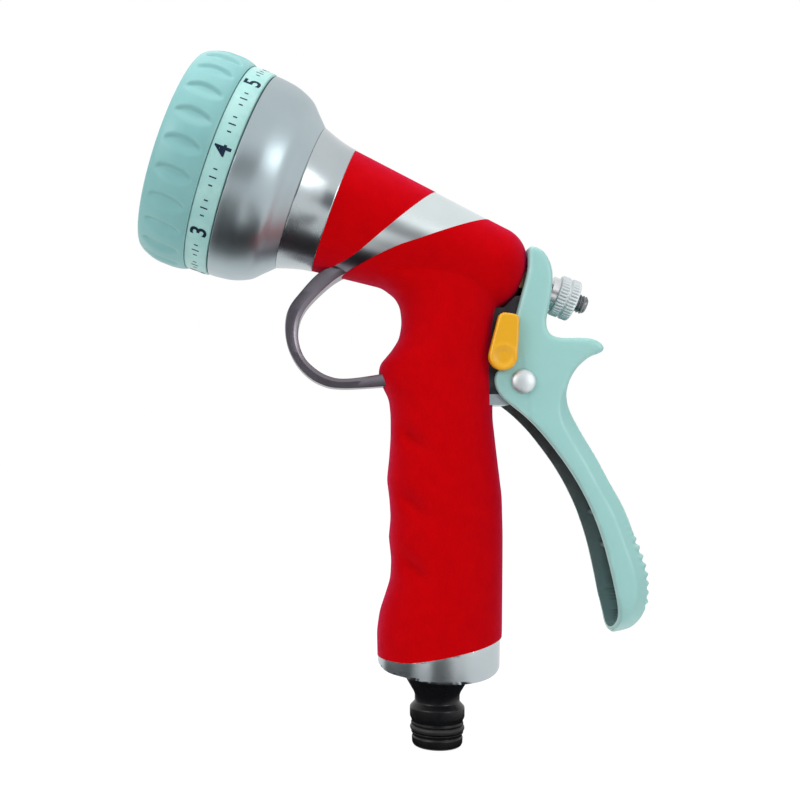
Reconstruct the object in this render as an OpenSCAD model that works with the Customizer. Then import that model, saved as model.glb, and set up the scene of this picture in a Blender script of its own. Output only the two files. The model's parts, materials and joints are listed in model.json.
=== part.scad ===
// Pistol-grip spray gun for a hose: a metal body under two rubber sleeves, a turning
// eight-pattern head, a rear squeeze lever that pulls a valve stem, a knurled flow nut,
// a lever lock, a knuckle guard and a click-in hose plug.
//
// Frame: the origin is the centre of the hose plug's tip, +Z runs up the plug and the
// handle, and the barrel points towards -X and up. Along the barrel, s is the distance
// from the plug's axis: positive towards the head, negative towards the flow nut.

/* [Barrel] */
// Height at which the barrel's axis crosses the plug's axis
barrel_height = 154.5; // [154.2:0.1:154.8]
// Rise of the barrel from level, in degrees
barrel_tilt = 20.6; // [20.4:0.1:20.8]
// Outer radius of the barrel at the plug's axis
barrel_r = 15.5; // [15.4:0.05:15.6]
// Growth of the barrel's radius for each millimetre towards the head
barrel_taper = 0.116; // [0.114:0.001:0.118]
// Thickness of the rubber sleeves and of the metal band between them
skin = 2; // [1.8:0.1:2.2]
// Place of the front sleeve's front edge
sleeve_front = 34.4; // [34:0.1:35]
// Place of the rounded rear end
rear_end = -27.9; // [-28:0.1:-27.8]

/* [Head] */
// Place of the joint between the neck and the bell
bell_back = 45.5; // [45.3:0.1:45.7]
// Place of the bell's front edge
bell_front = 64.4; // [64.3:0.1:64.5]
// Outer radius of the bell at its front edge
bell_r = 31.8; // [31.6:0.1:32]
// Outer radius of the label band
band_r = 32.2; // [32:0.1:32.4]
// Place of the joint between the label band and the grip ring
band_front = 71.8; // [71.6:0.1:72]
// Largest radius of the grip ring
dial_r = 33.6; // [33.4:0.1:33.8]
// Place of the head's front rim
rim_front = 87.3; // [87:0.1:87.6]
// Number of spray patterns
patterns = 8; // [8:1:8]

/* [Handle] */
// Half the width of the handle at its foot
handle_half_width = 14.4; // [14:0.1:14.8]
// Radius of the water way up the handle
water_r = 5; // [4.5:0.1:5]

/* [Hose plug] */
// Radius of the plug's locking bead
bead_r = 8.5; // [8.4:0.05:8.5]
// Radius of the plug's neck
plug_neck_r = 7; // [6.9:0.05:7.1]
// Radius of the plug's bore
plug_bore_r = 4.5; // [4:0.1:4.5]

/* [Squeeze lever] */
// Distance of the lever's pivot behind the plug's axis
pivot_x = 25; // [24.8:0.1:25.2]
// Height of the lever's pivot
pivot_z = 113; // [112.8:0.1:113.2]
// Outer width of the lever
lever_width = 20; // [19.8:0.1:20.2]
// Thickness of the lever's side walls
lever_wall = 2.2; // [2:0.1:2.4]
// How much wider each side of the lever is at its foot
lever_spread = 3; // [2.5:0.1:3.2]

/* [Valve] */
// Radius of the valve stem, which carries an M6 thread at its rear end
stem_r = 2.9; // [2.85:0.05:2.9]
// Place of the stem's rear tip
stem_tip = -49.6; // [-50:0.1:-49.4]
// Radius of the knurled flow nut
nut_r = 6.4; // [6.2:0.1:6.6]
// Radius of the valve chamber
chamber_r = 8; // [7.8:0.1:8.2]

/* [Hidden] */

fine = 96;
small = 48;
touch = 0.01;
fit = 0.05;

// Valve chamber and the seat in front of it
chamber_back = -14;
seat_back = 20;
seat_thickness = 4;
outlet_r = 10;
stroke = 6.1;
squeeze_angle = 14;
plunger_r = 6.6;
plunger_back = 10;
seal_thickness = 1.4;
seat_gap = 0.1;

// Gland around the stem at the rear of the barrel
gland_back = -28.6;
gland_r = 5.4;
gland_thread_r = 4.6;
gland_depth = 8;
washer_back = -29.6;

// Flow nut
collar_front = -37.2;
nut_front = -39.3;
nut_back = -45.7;
collar_r = 5.2;

// Head
face_back = 80.2;
face_front = 83.2;
dial_bore_r = 28;
plate_back = 57;
plate_front = 60;
diverter_back = 52;
diverter_front = 56;
post_r = 5;
port_radius = 14;
detent_radius = 22;
detent_ball_r = 1.6;

// Lug and lever pivot
lug_half = lever_width / 2 - lever_wall - 0.4;
rivet_r = 2.5;
lock_x = 18.4;
lock_z = 120.5;
lock_pin_r = 2;
tab_gap = 0.3;
tab_thickness = 3.2;

// Handle
core_bottom = 25;
core_top = 140;
plug_top = 35;

function barrel_radius(s) = barrel_r + barrel_taper * s;

// A smooth curve through a few points
function curve_point(p, i, t) =
    let (
        a = p[max(i - 1, 0)],
        b = p[i],
        c = p[i + 1],
        d = p[min(i + 2, len(p) - 1)]
    )
    0.5 * (2 * b + (c - a) * t + (2 * a - 5 * b + 4 * c - d) * t * t + (3 * b - a - 3 * c + d) * t * t * t);
function curve(p, steps = 5) = concat(
    [for (i = [0:len(p) - 2], k = [0:steps - 1]) curve_point(p, i, k / steps)],
    [p[len(p) - 1]]
);

// A rounded oval ring of points at one height, between a front and a back
function oval(z, front, back, half, roundness, count) = [
    for (k = [0:count - 1])
        let (
            a = 360 * k / count,
            c = cos(a),
            n = sin(a),
            power = 2 / roundness
        )
        [
            (front + back) / 2 + (back - front) / 2 * sign(c) * pow(abs(c), power),
            half * sign(n) * pow(abs(n), power),
            z
        ]
];

// A closed solid through a stack of rings that all have the same number of points
module loft(rings) {
    count = len(rings[0]);
    levels = len(rings);
    polyhedron(
        points = [for (ring = rings) for (point = ring) point],
        faces = concat(
            [[for (k = [0:count - 1]) k]],
            [
                for (j = [0:levels - 2], k = [0:count - 1])
                    let (a = j * count + k, b = j * count + (k + 1) % count)
                    [a, a + count, b + count, b]
            ],
            [[for (k = [count - 1:-1:0]) (levels - 1) * count + k]]
        ),
        convexity = 6
    );
}

// A round wire wound into a coil along +Z
module coil(radius, wire_r, length, turns, sides = 6, steps = 14) {
    rings = turns * steps;
    loft([
        for (j = [0:rings])
            let (a = 360 * j / steps, z = wire_r + (length - 2 * wire_r) * j / rings)
            [
                for (k = [0:sides - 1])
                    let (b = -360 * k / sides, r = radius + wire_r * cos(b))
                    [r * cos(a), r * sin(a), z + wire_r * sin(b)]
            ]
    ]);
}

module on_barrel(s = 0) {
    translate([0, 0, barrel_height]) rotate([0, barrel_tilt - 90, 0]) translate([0, 0, s]) children();
}

// A flat outline in the gun's mid plane, given as x and z, widened equally to both sides
module side_cut(points, width) {
    rotate([90, 0, 0]) linear_extrude(height = width, center = true) polygon(points);
}

// A round rod across the gun
module cross_rod(x, z, r, y_from, y_to) {
    translate([x, y_from, z]) rotate([-90, 0, 0]) cylinder(r = r, h = y_to - y_from, $fn = small);
}

module tube(r_out, r_in, from, to) {
    translate([0, 0, from]) difference() {
        cylinder(r = r_out, h = to - from, $fn = fine);
        translate([0, 0, -1]) cylinder(r = r_in, h = to - from + 2, $fn = fine);
    }
}

// A ring of round section about the Z axis
module round_ring(radius, section_r, s) {
    translate([0, 0, s]) rotate_extrude($fn = fine) translate([radius, 0]) circle(r = section_r, $fn = 32);
}

// ---- Shapes that several pieces share ----

// Edges of the bare metal band in the side view: the front one and the rear one
band_front_edge = curve([[10, 181.5], [-0.5, 172.3], [-15.6, 159.4], [-26.9, 150.7], [-36, 147.3]]);
band_rear_edge = curve([[30, 168.5], [16.2, 163.7], [-5.4, 155.9], [-14.7, 152.7], [-29.5, 146.2]]);
reach = 80;

// Everything ahead of the band's front edge, and everything behind its rear edge
module ahead_of_band() {
    side_cut(concat(band_front_edge, [[-100, 147.3], [-100, 230], [10, 230]]), reach);
}
module behind_band() {
    side_cut(concat(band_rear_edge, [[-36, 143], [-36, 0], [60, 0], [60, 168.5]]), reach);
}

rear_corner = 11;
rear_shoulder = rear_end + rear_corner;
// Outer surface of the barrel from its rounded rear end to the sleeve's front edge
module barrel_outside(shrink = 0) {
    corner_centre = barrel_radius(rear_shoulder) - rear_corner;
    corner = rear_corner - shrink;
    rotate_extrude($fn = fine) polygon(concat(
        [[0, sleeve_front], [0, rear_shoulder - corner]],
        [for (a = [0:10:90]) [corner_centre + corner * sin(a), rear_shoulder - corner * cos(a)]],
        [[barrel_radius(sleeve_front) - shrink, sleeve_front]]
    ));
}

// Front and back of the handle at each height, and half its width
handle_front = [
    [20, -18.4], [36, -18.7], [42, -17.8], [47, -16.1], [52, -14.5], [58, -14.2], [65, -15], [71, -14.4],
    [77, -14.8], [83, -15.6], [89, -14.9], [96, -14.4], [103, -14.4], [108, -14.9], [112, -17], [116, -18.3],
    [119, -17.7], [123, -14.2], [127, -11.7], [132, -10.9], [137, -11.5], [140, -13.2], [143, -17.2],
    [146, -24]
];
handle_back = [
    [20, 18.9], [36, 19.9], [66, 20.1], [78, 19.8], [90, 18.3], [102, 16.9], [124, 17], [132, 17.8],
    [140, 19.5], [146, 20]
];
handle_half = [
    [20, handle_half_width], [40, handle_half_width], [70, handle_half_width - 0.4],
    [120, handle_half_width - 1], [146, handle_half_width - 1]
];
handle_roundness = 2.3;
module handle_outside() {
    loft([
        for (z = [20:3:146])
            oval(z, lookup(z, handle_front), lookup(z, handle_back), lookup(z, handle_half),
                handle_roundness, 36)
    ]);
}

// The metal handle inside the rubber: an upright bar with half-round sides
core_front = -0.5;
core_back = 5;
core_half = 9;
module handle_core() {
    translate([0, 0, core_bottom]) linear_extrude(height = core_top - core_bottom) {
        translate([core_front, 0]) circle(r = core_half, $fn = fine);
        translate([core_back, 0]) circle(r = core_half, $fn = fine);
        translate([core_front, -core_half]) square([core_back - core_front, 2 * core_half]);
    }
}

// The ear that carries the lever's rivet and the lock's pin
module pivot_lug() {
    root_x = core_back + core_half / 2;
    foot_z = pivot_z - 7;
    head_z = lock_z + 15;
    cross_rod(pivot_x, pivot_z, 6, -lug_half, lug_half);
    cross_rod(lock_x, lock_z, 3.6, -lug_half, lug_half);
    side_cut([
        [root_x, foot_z], [pivot_x - 4, foot_z], [pivot_x, pivot_z - 6], [pivot_x + 2.4, pivot_z + 5.5],
        [pivot_x + 1, pivot_z + 12], [pivot_x + 0.5, head_z - 3], [pivot_x - 1, head_z], [root_x, head_z]
    ], 2 * lug_half);
}

// Line between the rubber handle and the base ring
foot_line = curve([[-24, 28.6], [-12.5, 28], [-4, 29], [4.5, 30.7], [13, 32.6], [24, 35.8]]);
module below_foot_line() {
    side_cut(concat(foot_line, [[24, 0], [-24, 0]]), reach);
}

// ---- Fixed pieces ----

module body_casting() {
    color("silver") difference() {
        union() {
            on_barrel() difference() {
                barrel_outside(skin + fit);
                translate([0, 0, rear_end - 10]) cylinder(r = 20, h = 13.5, $fn = fine);
            }
            on_barrel() rotate_extrude($fn = fine) polygon([
                [0, sleeve_front - 6], [barrel_radius(sleeve_front - 6) - skin - fit, sleeve_front - 6],
                [barrel_radius(sleeve_front) - skin - fit, sleeve_front - touch],
                [barrel_radius(sleeve_front), sleeve_front - touch], [19.9, 37.7], [22.4, bell_back],
                [0, bell_back]
            ]);
            handle_core();
            pivot_lug();
        }
        on_barrel(chamber_back) cylinder(r = chamber_r, h = seat_back - chamber_back, $fn = fine);
        on_barrel(seat_back - touch) cylinder(r = outlet_r, h = 40, $fn = fine);
        on_barrel(-40) cylinder(r = stem_r + fit, h = 40, $fn = small);
        on_barrel(rear_end - 10) cylinder(r = gland_thread_r, h = 10 + gland_depth + 1.5, $fn = small);
        translate([0, 0, core_bottom - 1])
            cylinder(r = water_r, h = barrel_height - core_bottom, $fn = fine);
        translate([0, 0, core_bottom - 1]) cylinder(r = 8, h = plug_top + 2 - core_bottom + 1, $fn = fine);
        cross_rod(pivot_x, pivot_z, rivet_r, -20, 20);
        cross_rod(lock_x, lock_z, lock_pin_r + fit, -20, 20);
    }
}

module head_bell() {
    outer = curve([[22.6, bell_back], [26, 49], [28.8, 52], [30.9, 57], [31.7, 62], [bell_r, bell_front]]);
    inner = curve([[24.6, 50.2], [27.2, 53], [29, 57], [29.8, 62], [29.8, bell_front]]);
    backwards = [for (k = [len(inner) - 1:-1:0]) inner[k]];
    color("silver") on_barrel() rotate_extrude($fn = fine) polygon(concat(
        [[outlet_r, bell_back]], outer, backwards, [[18, 49], [outlet_r, 49]]
    ));
}

guard_width = 10;
// The loop in front of the knuckles: its outer edge, then its inner edge, from top to bottom
guard_outer = [
    [-36, 147.3], [-42.7, 140.7], [-46.5, 135.3], [-47.4, 129.2], [-46.2, 123], [-42.5, 116.9],
    [-36.6, 112.6], [-29, 111.2], [-12, 112.2]
];
guard_inner = [
    [-29.5, 146.2], [-35.7, 141.6], [-41.4, 135.3], [-43.4, 129.2], [-42.5, 123], [-39.6, 118.6],
    [-34, 115], [-27, 114.3], [-12, 116.6]
];
module guard_band() {
    inner = curve(guard_inner);
    color("silver") union() {
        difference() {
            on_barrel() difference() {
                barrel_outside();
                barrel_outside(skin);
            }
            ahead_of_band();
            behind_band();
        }
        difference() {
            side_cut(concat(
                [[-22, 152.4]], curve(guard_outer), [for (k = [len(inner) - 1:-1:0]) inner[k]]
            ), guard_width);
            on_barrel() barrel_outside(skin);
            handle_core();
            ahead_of_band();
        }
    }
}

module barrel_sleeve() {
    color("crimson") intersection() {
        on_barrel() difference() {
            barrel_outside();
            barrel_outside(skin);
            translate([0, 0, rear_end - 1]) cylinder(r = 30, h = 20, $fn = fine);
        }
        ahead_of_band();
    }
}

module handle_grip() {
    color("crimson") difference() {
        union() {
            on_barrel() barrel_outside();
            handle_outside();
        }
        on_barrel() barrel_outside(skin);
        on_barrel(rear_end - 2) cylinder(r = gland_r + 1.2, h = 6.5, $fn = fine);
        difference() {
            translate([-60, -40, 0]) cube([110, 80, 220]);
            behind_band();
        }
        below_foot_line();
        handle_core();
        pivot_lug();
        side_cut(concat(curve(guard_outer), [[-12, 116.6], [-27, 114.3]]), guard_width);
    }
}

base_front = -18.4;
base_back = 19.1;
base_half = handle_half_width + 0.1;
// The ring's lower edge, from the front to the back
base_line = [
    [-18.9, 27.2], [-17.9, 25.6], [-15.6, 24.4], [-10.3, 23.6], [-4.6, 22.5], [0, 22.1], [7.4, 22.1],
    [13, 22.8], [16.5, 23.9], [18.4, 25.2], [19.9, 27.2]
];
module base_ring() {
    color("silver") difference() {
        intersection() {
            loft([
                oval(20, base_front, base_back, base_half, handle_roundness, 48),
                oval(40, base_front - 0.2, base_back + 0.4, base_half, handle_roundness, 48)
            ]);
            below_foot_line();
        }
        handle_core();
        translate([0, 0, 10]) cylinder(r = 9.8, h = 20, $fn = fine);
        side_cut(concat([[-30, 27.2]], curve(base_line), [[30, 27.2], [30, 0], [-30, 0]]), 80);
    }
}

module hose_plug() {
    color("dimgray") rotate_extrude($fn = fine) polygon([
        [plug_bore_r, 0], [6.6, 0], [7.5, 0.5], [7.9, 1.4], [7.9, 3], [7.5, 3.5], [7.9, 4.1], [8.2, 4.6],
        [6.35, 4.6], [6.35, 7], [8.2, 7], [7.9, 8], [bead_r, 9.3], [bead_r, 12.3], [plug_neck_r, 13.9],
        [plug_neck_r, 16], [9.7, 21], [9.7, core_bottom], [8, core_bottom], [8, plug_top],
        [plug_bore_r, plug_top]
    ]);
}

module plug_o_ring() {
    color("black") round_ring(7.4, 1.05, 5.8);
}

module inlet_filter() {
    thickness = 2;
    hole_r = 0.55;
    pitch = 1.5;
    color("gainsboro") translate([0, 0, plug_top]) difference() {
        cylinder(r = 8, h = thickness, $fn = fine);
        translate([0, 0, 0.6]) cylinder(r = plug_bore_r, h = thickness, $fn = small);
        for (ring = [0:2], k = [0:max(1, 6 * ring) - 1])
            rotate([0, 0, 60 * k / max(1, ring)]) translate([ring * pitch, 0, -1])
                cylinder(r = hole_r, h = 3, $fn = 16);
    }
}

module gland_nut() {
    color("goldenrod") on_barrel() difference() {
        union() {
            translate([0, 0, gland_back]) cylinder(r = gland_r, h = 4.2, $fn = 6);
            translate([0, 0, gland_back + 4.2 - touch]) cylinder(r = gland_thread_r, h = 3, $fn = small);
        }
        translate([0, 0, gland_back - 1]) cylinder(r = stem_r + fit, h = 10, $fn = small);
    }
}

module gland_seal() {
    color("black") on_barrel()
        tube(gland_thread_r, stem_r + fit, gland_back + 7.2, rear_end + gland_depth + 1.5);
}

module gland_washer() {
    color("silver") on_barrel() tube(4.4, stem_r + fit, washer_back, gland_back);
}

module valve_seat() {
    color("goldenrod") on_barrel() tube(outlet_r, 4.4, seat_back, seat_back + seat_thickness);
}

module outlet_bush() {
    color("goldenrod") on_barrel() difference() {
        union() {
            translate([0, 0, seat_back + seat_thickness]) cylinder(r = outlet_r, h = 25, $fn = fine);
            translate([0, 0, 49]) cylinder(r = 14, h = diverter_back - 49, $fn = 6);
        }
        cylinder(r = 7, h = 60, $fn = fine);
    }
}

module diverter_plate() {
    color("gainsboro") on_barrel() difference() {
        union() {
            translate([0, 0, diverter_back])
                cylinder(r = 25, h = diverter_front - diverter_back, $fn = fine);
            translate([0, 0, diverter_front - touch])
                cylinder(r = post_r, h = 77.5 - diverter_front, $fn = small);
        }
        translate([0, 0, diverter_back - 1]) cylinder(r = 17, h = 3, $fn = fine);
        translate([port_radius, 0, diverter_back - 1]) cylinder(r = 2.2, h = 10, $fn = small);
        translate([port_radius, 0, 54.6]) cylinder(r = 3.6, h = 10, $fn = small);
        translate([-detent_radius, 0, 53]) cylinder(r = 1.7, h = 10, $fn = small);
        translate([0, 0, 66]) cylinder(r = 1.6, h = 20, $fn = small);
    }
}

module diverter_seal() {
    color("black") on_barrel() translate([port_radius, 0, 0]) tube(3.6, 2.2, 54.6, plate_back - seat_gap);
}

module detent_ball() {
    color("silver") on_barrel() translate([-detent_radius, 0, 56.3]) sphere(r = detent_ball_r, $fn = small);
}

module detent_spring() {
    color("silver") on_barrel() translate([-detent_radius, 0, 53]) coil(1.2, 0.2, 1.6, 3, 6, 12);
}

rivet_head_r = 3.7;
module pivot_rivet() {
    inner = lever_width / 2 + 0.1;
    color("silver") {
        cross_rod(pivot_x, pivot_z, rivet_r, -inner - touch, inner + touch);
        for (side = [-90, 90])
            translate([pivot_x, side > 0 ? -inner : inner, pivot_z]) rotate([side, 0, 0])
                rotate_extrude($fn = small) polygon(concat(
                    [[0, 0], [rivet_head_r, 0]],
                    [for (a = [10:10:80]) [rivet_head_r * cos(a), 0.3 + 1.5 * sin(a)]],
                    [[0, 1.8]]
                ));
    }
}

module pivot_washers() {
    color("silver") for (y = [-lug_half - 0.3, lug_half])
        difference() {
            cross_rod(pivot_x, pivot_z, 4.4, y, y + 0.3);
            cross_rod(pivot_x, pivot_z, rivet_r, y - 1, y + 1);
        }
}

// ---- Turning head ----

scallops = 24;
module dial_grip_ring() {
    middle = (band_front + rim_front) / 2;
    color("lightblue") on_barrel() difference() {
        rotate_extrude($fn = fine) polygon([
            [dial_bore_r, 76], [29.6, 76], [29.6, band_front], [32.5, band_front], [dial_r, 76],
            [dial_r, 80], [32.7, 84], [31.9, 86], [30.6, rim_front], [29.4, rim_front],
            [29, face_front], [dial_bore_r, face_front]
        ]);
        for (k = [0:scallops - 1])
            rotate([0, 0, 360 * k / scallops]) translate([dial_r + 4.2, 0, middle - 5.5])
                cylinder(r = 5, h = 11, $fn = small);
    }
}

module label_band() {
    color("lightblue") on_barrel() rotate_extrude($fn = fine) polygon([
        [28, 61.5], [29.2, 61.5], [29.2, bell_front + 0.3], [band_r - 0.2, bell_front + 0.3],
        [band_r, bell_front + 0.8], [band_r, band_front], [29.6, band_front], [29.6, 76], [28, 76]
    ]);
}

// Places of one pattern's small holes: rings of holes around the pattern's middle
module hole_rings(counts, step, hole_r) {
    for (ring = [0:len(counts) - 1], k = [0:counts[ring] - 1])
        rotate([0, 0, 360 * k / counts[ring]]) translate([ring * step, 0, -1])
            cylinder(r = hole_r, h = 12, $fn = 16);
}

pattern_radius = 17.5;
module pattern_holes(kind) {
    if (kind == 0) hole_rings([1], 0, 1.6);
    if (kind == 1) hole_rings([1, 6, 12], 2.1, 0.6);
    if (kind == 2) translate([-0.7, -5, -1]) cube([1.4, 10, 12]);
    if (kind == 3) hole_rings([0, 8], 3.6, 0.8);
    if (kind == 4) hole_rings([0, 3], 2.6, 0.5);
    if (kind == 5) hole_rings([1, 6], 3, 1.2);
    if (kind == 6) for (k = [-3:3])
        translate([-abs(k) * 0.8, k * 1.7, -1]) cylinder(r = 0.6, h = 12, $fn = 16);
    if (kind == 7) hole_rings([1, 5], 2.4, 0.9);
}

module spray_face() {
    color("lightblue") on_barrel() difference() {
        union() {
            translate([0, 0, face_back]) cylinder(r = dial_bore_r, h = face_front - face_back, $fn = fine);
            translate([pattern_radius, 0, face_front - touch]) rotate_extrude($fn = small)
                polygon([[0, 0], [4, 0], [3, 3], [0, 3]]);
        }
        for (k = [0:patterns - 1])
            rotate([0, 0, 360 * k / patterns]) translate([pattern_radius, 0, face_back]) pattern_holes(k);
        translate([0, 0, face_back - 1]) cylinder(r = 1.8, h = 10, $fn = small);
        translate([0, 0, face_front - 1.2]) cylinder(r = 4, h = 10, $fn = small);
    }
}

module chamber_plate() {
    rib = 1.2;
    color("gainsboro") on_barrel() difference() {
        union() {
            translate([0, 0, plate_back]) cylinder(r = 27.6, h = plate_front - plate_back, $fn = fine);
            tube(7.2, post_r + fit, plate_front - touch, face_back);
            for (k = [0:patterns - 1])
                rotate([0, 0, 360 * (k + 0.5) / patterns]) translate([6.8, -rib / 2, plate_front - touch])
                    cube([19.4, rib, face_back - plate_front + touch]);
        }
        translate([0, 0, plate_back - 1]) cylinder(r = post_r + fit, h = 30, $fn = small);
        round_ring(detent_radius, detent_ball_r + 0.1, 56.3);
        for (k = [0:patterns - 1])
            rotate([0, 0, 360 * k / patterns]) {
                translate([port_radius, 0, plate_back - 1]) cylinder(r = 2.2, h = 8, $fn = small);
                translate([detent_radius, 0, 56.3]) sphere(r = detent_ball_r + 0.3, $fn = small);
            }
    }
}

module dial_seal() {
    color("black") on_barrel() tube(dial_bore_r, 26.4, face_back - 2, face_back);
}

module dial_screw() {
    color("silver") on_barrel() {
        translate([0, 0, 78.4]) cylinder(r = 1.55, h = 3.7, $fn = small);
        translate([0, 0, face_front - 1.2]) difference() {
            cylinder(r = 3.6, h = 2, $fn = small);
            for (a = [0, 90]) rotate([0, 0, a]) translate([-2.2, -0.4, 1]) cube([4.4, 0.8, 2]);
        }
    }
}

// ---- Squeeze lever ----

lever_back = curve([
    [27.2, 154.7], [31.3, 152.8], [33.8, 148.2], [34.1, 143], [33.5, 137.8], [32.2, 131.3], [33.4, 127.5],
    [37.2, 126.4], [44.9, 126.4], [48.7, 124.9], [49.9, 123], [48.8, 121.8], [45.2, 120.4], [41, 116.4],
    [38.6, 111], [39.1, 105.6], [42.7, 98.4], [47.5, 90.2], [51.7, 82.2], [55.9, 74.3], [59.6, 64.2],
    [62.3, 56], [62.8, 50], [62, 43], [59.6, 38], [56.6, 36], [54.6, 35]
], 4);
lever_front = curve([
    [53.4, 36.5], [54, 41], [52.8, 48], [50.7, 57.9], [48, 67.6], [44.1, 77.3], [38.5, 87.1], [31.2, 96.8],
    [25.3, 102.9], [18.6, 108.4], [16.5, 112.8], [17.3, 116.2], [20, 118], [21.1, 121.5], [21.6, 128],
    [23.5, 135.2], [25.2, 141.7], [26.6, 147.6], [26.6, 152.6]
], 4);
// Inner face of the lever's back wall, from the top to the rounded foot
lever_hollow = curve([
    [28.6, 152.2], [31.1, 148.8], [31.3, 143], [30.5, 137.8], [29.6, 131.5], [32.6, 124], [35.8, 117],
    [36.2, 111], [36.7, 105.1], [40.5, 97.2], [45.3, 89.1], [49.5, 81.1], [53.6, 73.3], [57.1, 63.5],
    [59.7, 55.6], [60.3, 50], [59.5, 44], [57.7, 40], [54, 38]
], 4);
foot_z = 48;

// A long block that widens by lever_spread on each side towards its half-round lower end
module round_footed(half) {
    foot = half + lever_spread;
    translate([60, 0, 0]) rotate([0, 0, 90]) side_cut(concat(
        [[half, 200], [half, 105], [half + 0.27 * lever_spread, 90], [half + 0.67 * lever_spread, 72]],
        [for (k = [0:24]) [foot * cos(7.5 * k), foot_z - foot * sin(7.5 * k)]],
        [[-half - 0.67 * lever_spread, 72], [-half - 0.27 * lever_spread, 90], [-half, 105], [-half, 200]]
    ), 140);
}

// Room in the lever's back for the collar, at each position of the lever
module collar_relief() {
    for (turn = [0:7:squeeze_angle])
        translate([pivot_x, 0, pivot_z]) rotate([0, -turn, 0]) translate([-pivot_x, 0, -pivot_z])
            on_barrel(collar_front - stroke * turn / squeeze_angle + 0.1)
                rotate([180, 0, 0]) cylinder(r = collar_r + 0.6, h = 12, $fn = small);
}

module squeeze_lever() {
    half = lever_width / 2;
    hollow_half = half - lever_wall;
    rib_depth = 4.5;
    color("paleturquoise") difference() {
        union() {
            difference() {
                intersection() {
                    side_cut(concat(lever_back, lever_front), 2 * (half + lever_spread));
                    round_footed(half);
                }
                intersection() {
                    side_cut(concat(lever_hollow, [[30, 38], [0, 60], [0, 152.6]]), 2 * (half + lever_spread));
                    round_footed(hollow_half);
                }
            }
            intersection() {
                for (rib = [[57.8, 62], [53.8, 72.5]])
                    translate([rib.x - rib_depth, -half - lever_spread, rib.y])
                        cube([rib_depth + 1, 2 * (half + lever_spread), 1.4]);
                round_footed(hollow_half + touch);
            }
        }
        cross_rod(pivot_x, pivot_z, rivet_r + fit, -20, 20);
        collar_relief();
        on_barrel() barrel_outside(-0.5);
        on_barrel(-45) for (rise = [-2, 1.2])
            translate([rise, 0, 0]) cylinder(r = stem_r + 0.5, h = 20, $fn = small);
        on_barrel(-45) translate([-2, -stem_r - 0.5, 0]) cube([3.2, 2 * stem_r + 1, 20]);
    }
}

// ---- Valve ----

module valve_stem() {
    color("silver") on_barrel(stem_tip) cylinder(r = stem_r, h = 15 - stem_tip, $fn = small);
}

seal_back = seat_back - seat_gap - seal_thickness;
module plunger() {
    color("goldenrod") on_barrel() difference() {
        translate([0, 0, plunger_back]) cylinder(r = plunger_r, h = seal_back - plunger_back, $fn = small);
        cylinder(r = stem_r, h = 15, $fn = small);
    }
}

module plunger_seal() {
    color("black") on_barrel(seal_back) cylinder(r = plunger_r, h = seal_thickness, $fn = small);
}

module return_spring() {
    color("silver") on_barrel(chamber_back) coil(5, 0.6, plunger_back - chamber_back, 8);
}

module nut_collar() {
    color("silver") on_barrel() tube(collar_r, stem_r + fit, nut_front, collar_front);
}

module flow_nut() {
    color("silver") on_barrel() difference() {
        rotate_extrude($fn = fine) polygon([
            [stem_r + fit, nut_front - touch], [nut_r - 0.6, nut_front - touch],
            [nut_r, nut_front - 0.6], [nut_r, -42.2], [nut_r - 0.3, -42.3], [nut_r - 0.3, -42.7],
            [nut_r, -42.8], [nut_r, nut_back + 0.6], [nut_r - 0.6, nut_back], [stem_r + fit, nut_back]
        ]);
        for (k = [0:35])
            rotate([0, 0, 10 * k]) translate([nut_r + 0.2, 0, nut_back - 1])
                cylinder(r = 0.4, h = 9, $fn = 4);
    }
}

// ---- Lever lock ----

tab_inner = lever_width / 2 + tab_gap;
tab_length = 11;
tab_lean = 8.6;
module lock_tab() {
    color("gold") translate([lock_x, -tab_inner, lock_z]) rotate([90, 0, 0]) rotate([0, 0, -tab_lean])
        difference() {
            union() {
                cylinder(r = 4.3, h = tab_thickness, $fn = small);
                translate([0, tab_length, 0]) cylinder(r = 2.8, h = tab_thickness, $fn = small);
                linear_extrude(height = tab_thickness)
                    polygon([[-4.2, 0.6], [4.2, 0.6], [2.75, tab_length + 0.4], [-2.75, tab_length + 0.4]]);
            }
            translate([0, 0, -1]) cylinder(r = lock_pin_r, h = 3, $fn = small);
            translate([0, 0, tab_thickness - 0.4]) cylinder(r = 2.3, h = 2, $fn = small);
        }
}

module lock_pin() {
    color("silver") cross_rod(lock_x, lock_z, lock_pin_r, -tab_inner - 2, tab_inner + 1.8);
}

module lock_clip() {
    color("silver") difference() {
        cross_rod(lock_x, lock_z, 3.6, tab_inner, tab_inner + 0.8);
        cross_rod(lock_x, lock_z, lock_pin_r, tab_inner - 1, tab_inner + 2);
    }
}

body_casting();
head_bell();
guard_band();
barrel_sleeve();
handle_grip();
base_ring();
hose_plug();
plug_o_ring();
inlet_filter();
gland_nut();
gland_seal();
gland_washer();
valve_seat();
outlet_bush();
diverter_plate();
diverter_seal();
detent_ball();
detent_spring();
pivot_rivet();
pivot_washers();
dial_grip_ring();
label_band();
spray_face();
chamber_plate();
dial_seal();
dial_screw();
squeeze_lever();
valve_stem();
plunger();
plunger_seal();
return_spring();
nut_collar();
flow_nut();
lock_tab();
lock_pin();
lock_clip();
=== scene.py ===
"""Builds the looks of a pistol-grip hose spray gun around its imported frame.

Lengths in the classes are in millimetres. A piece is made in millimetres and its mesh is
turned to metres when it is finished, so every object stays at the origin.
"""
import json
import logging
import math

import bmesh
import bpy
from dataclasses import dataclass, replace
from enum import Enum
from typing import Callable, Iterable, Optional

from mathutils import Matrix, Vector, kdtree


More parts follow.
